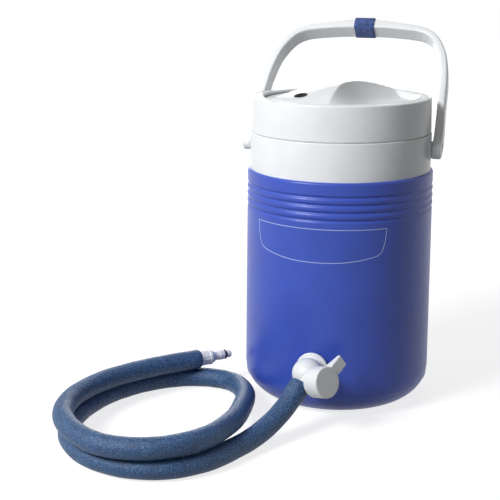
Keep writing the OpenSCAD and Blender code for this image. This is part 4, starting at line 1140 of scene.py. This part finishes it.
class THERAPYJUG_OT_inner_parts(Operator):
    """Finishes of the pieces inside the jug, the tap and the lid, which keep the frame's shapes"""
    bl_idname = "therapyjug.inner_parts"
    bl_label = "Inner parts"

    def execute(self, context):
        colours = context.scene.jug_colours
        steel = drawn_metal("inner_steel", colours.steel)
        pump = moulded("pump_plastic", colours.pump, 0.45)
        rubber = moulded_rubber("inner_rubber", colours.rubber)
        gasket = moulded_rubber("gasket_rubber", colours.gasket)
        pale = moulded("inner_plastic", colours.liner, 0.42)
        pins = moulded("pin_plastic", colours.white, 0.33)
        finishes = {
            "foam_insulation": cast_foam("insulating_foam", colours.foam),
            "inner_liner": moulded("liner_plastic", colours.liner, 0.28, 500.0),
            "pivot_pin_left": pins, "pivot_pin_right": pins,
            "tap_gasket": gasket, "tap_liner_washer": gasket, "lid_gasket": gasket,
            "tap_backnut": pale, "outlet_barb": pale, "tap_plug": pale, "lid_pan": pale, "air_nozzle": pale,
            "pan_screws": steel, "socket_nut": steel, "pump_motor": steel, "board_screws": steel,
            "pump_screws": steel, "motor_shaft": steel,
            "motor_clamp": pump, "pump_head": pump, "pump_cap": pump,
            "pump_diaphragm": rubber, "nozzle_seal": rubber, "plug_orings": rubber,
            "air_tube": clear_tube("soft_tube"),
            "circuit_board": moulded("board_lacquer", colours.board, 0.3),
            "power_leads": moulded_rubber("red_lead", colours.red_lead),
            "motor_leads": moulded_rubber("black_lead", colours.rubber),
            "eccentric": drawn_metal("turned_brass", colours.brass),
        }
        for name, material in finishes.items():
            data = frame["nodes"][name].data
            data.materials.clear()
            data.materials.append(material)
        return {"FINISHED"}


class THERAPYJUG_PT_panel(Panel):
    """Settings and builders of the jug"""
    bl_label = "Therapy Jug"
    bl_idname = "THERAPYJUG_PT_panel"
    bl_space_type = "VIEW_3D"
    bl_region_type = "UI"
    bl_category = "Therapy Jug"

    def draw(self, context):
        for settings in (context.scene.jug_sizes, context.scene.jug_colours):
            box = self.layout.box()
            for name in settings.bl_rna.properties.keys():
                if name not in ("rna_type", "name"):
                    box.prop(settings, name)
        for operator in OPERATORS:
            self.layout.operator(operator.bl_idname)


OPERATORS = (THERAPYJUG_OT_camera, THERAPYJUG_OT_hose, THERAPYJUG_OT_shell, THERAPYJUG_OT_collar,
             THERAPYJUG_OT_lid_ring, THERAPYJUG_OT_grip_panel, THERAPYJUG_OT_socket, THERAPYJUG_OT_handle,
             THERAPYJUG_OT_strap, THERAPYJUG_OT_tap_body, THERAPYJUG_OT_knob, THERAPYJUG_OT_inner_parts,
             THERAPYJUG_OT_stage)
CLASSES = (JugSizes, JugColours, *OPERATORS, THERAPYJUG_PT_panel)


def register():
    """Adds the classes and the settings."""
    for each in CLASSES:
        bpy.utils.register_class(each)
    bpy.types.Scene.jug_sizes = PointerProperty(type=JugSizes)
    bpy.types.Scene.jug_colours = PointerProperty(type=JugColours)


def unregister():
    """Takes the classes and the settings away."""
    del bpy.types.Scene.jug_colours
    del bpy.types.Scene.jug_sizes
    for each in reversed(CLASSES):
        bpy.utils.unregister_class(each)


def main():
    """Builds everything in order."""
    register()
    bpy.ops.therapyjug.camera()
    bpy.ops.therapyjug.hose()
    bpy.ops.therapyjug.shell()
    bpy.ops.therapyjug.collar()
    bpy.ops.therapyjug.lid_ring()
    bpy.ops.therapyjug.grip_panel()
    bpy.ops.therapyjug.socket()
    bpy.ops.therapyjug.handle()
    bpy.ops.therapyjug.strap()
    bpy.ops.therapyjug.tap_body()
    bpy.ops.therapyjug.knob()
    bpy.ops.therapyjug.inner_parts()
    bpy.ops.therapyjug.stage()


if __name__ == "__main__":
    main()
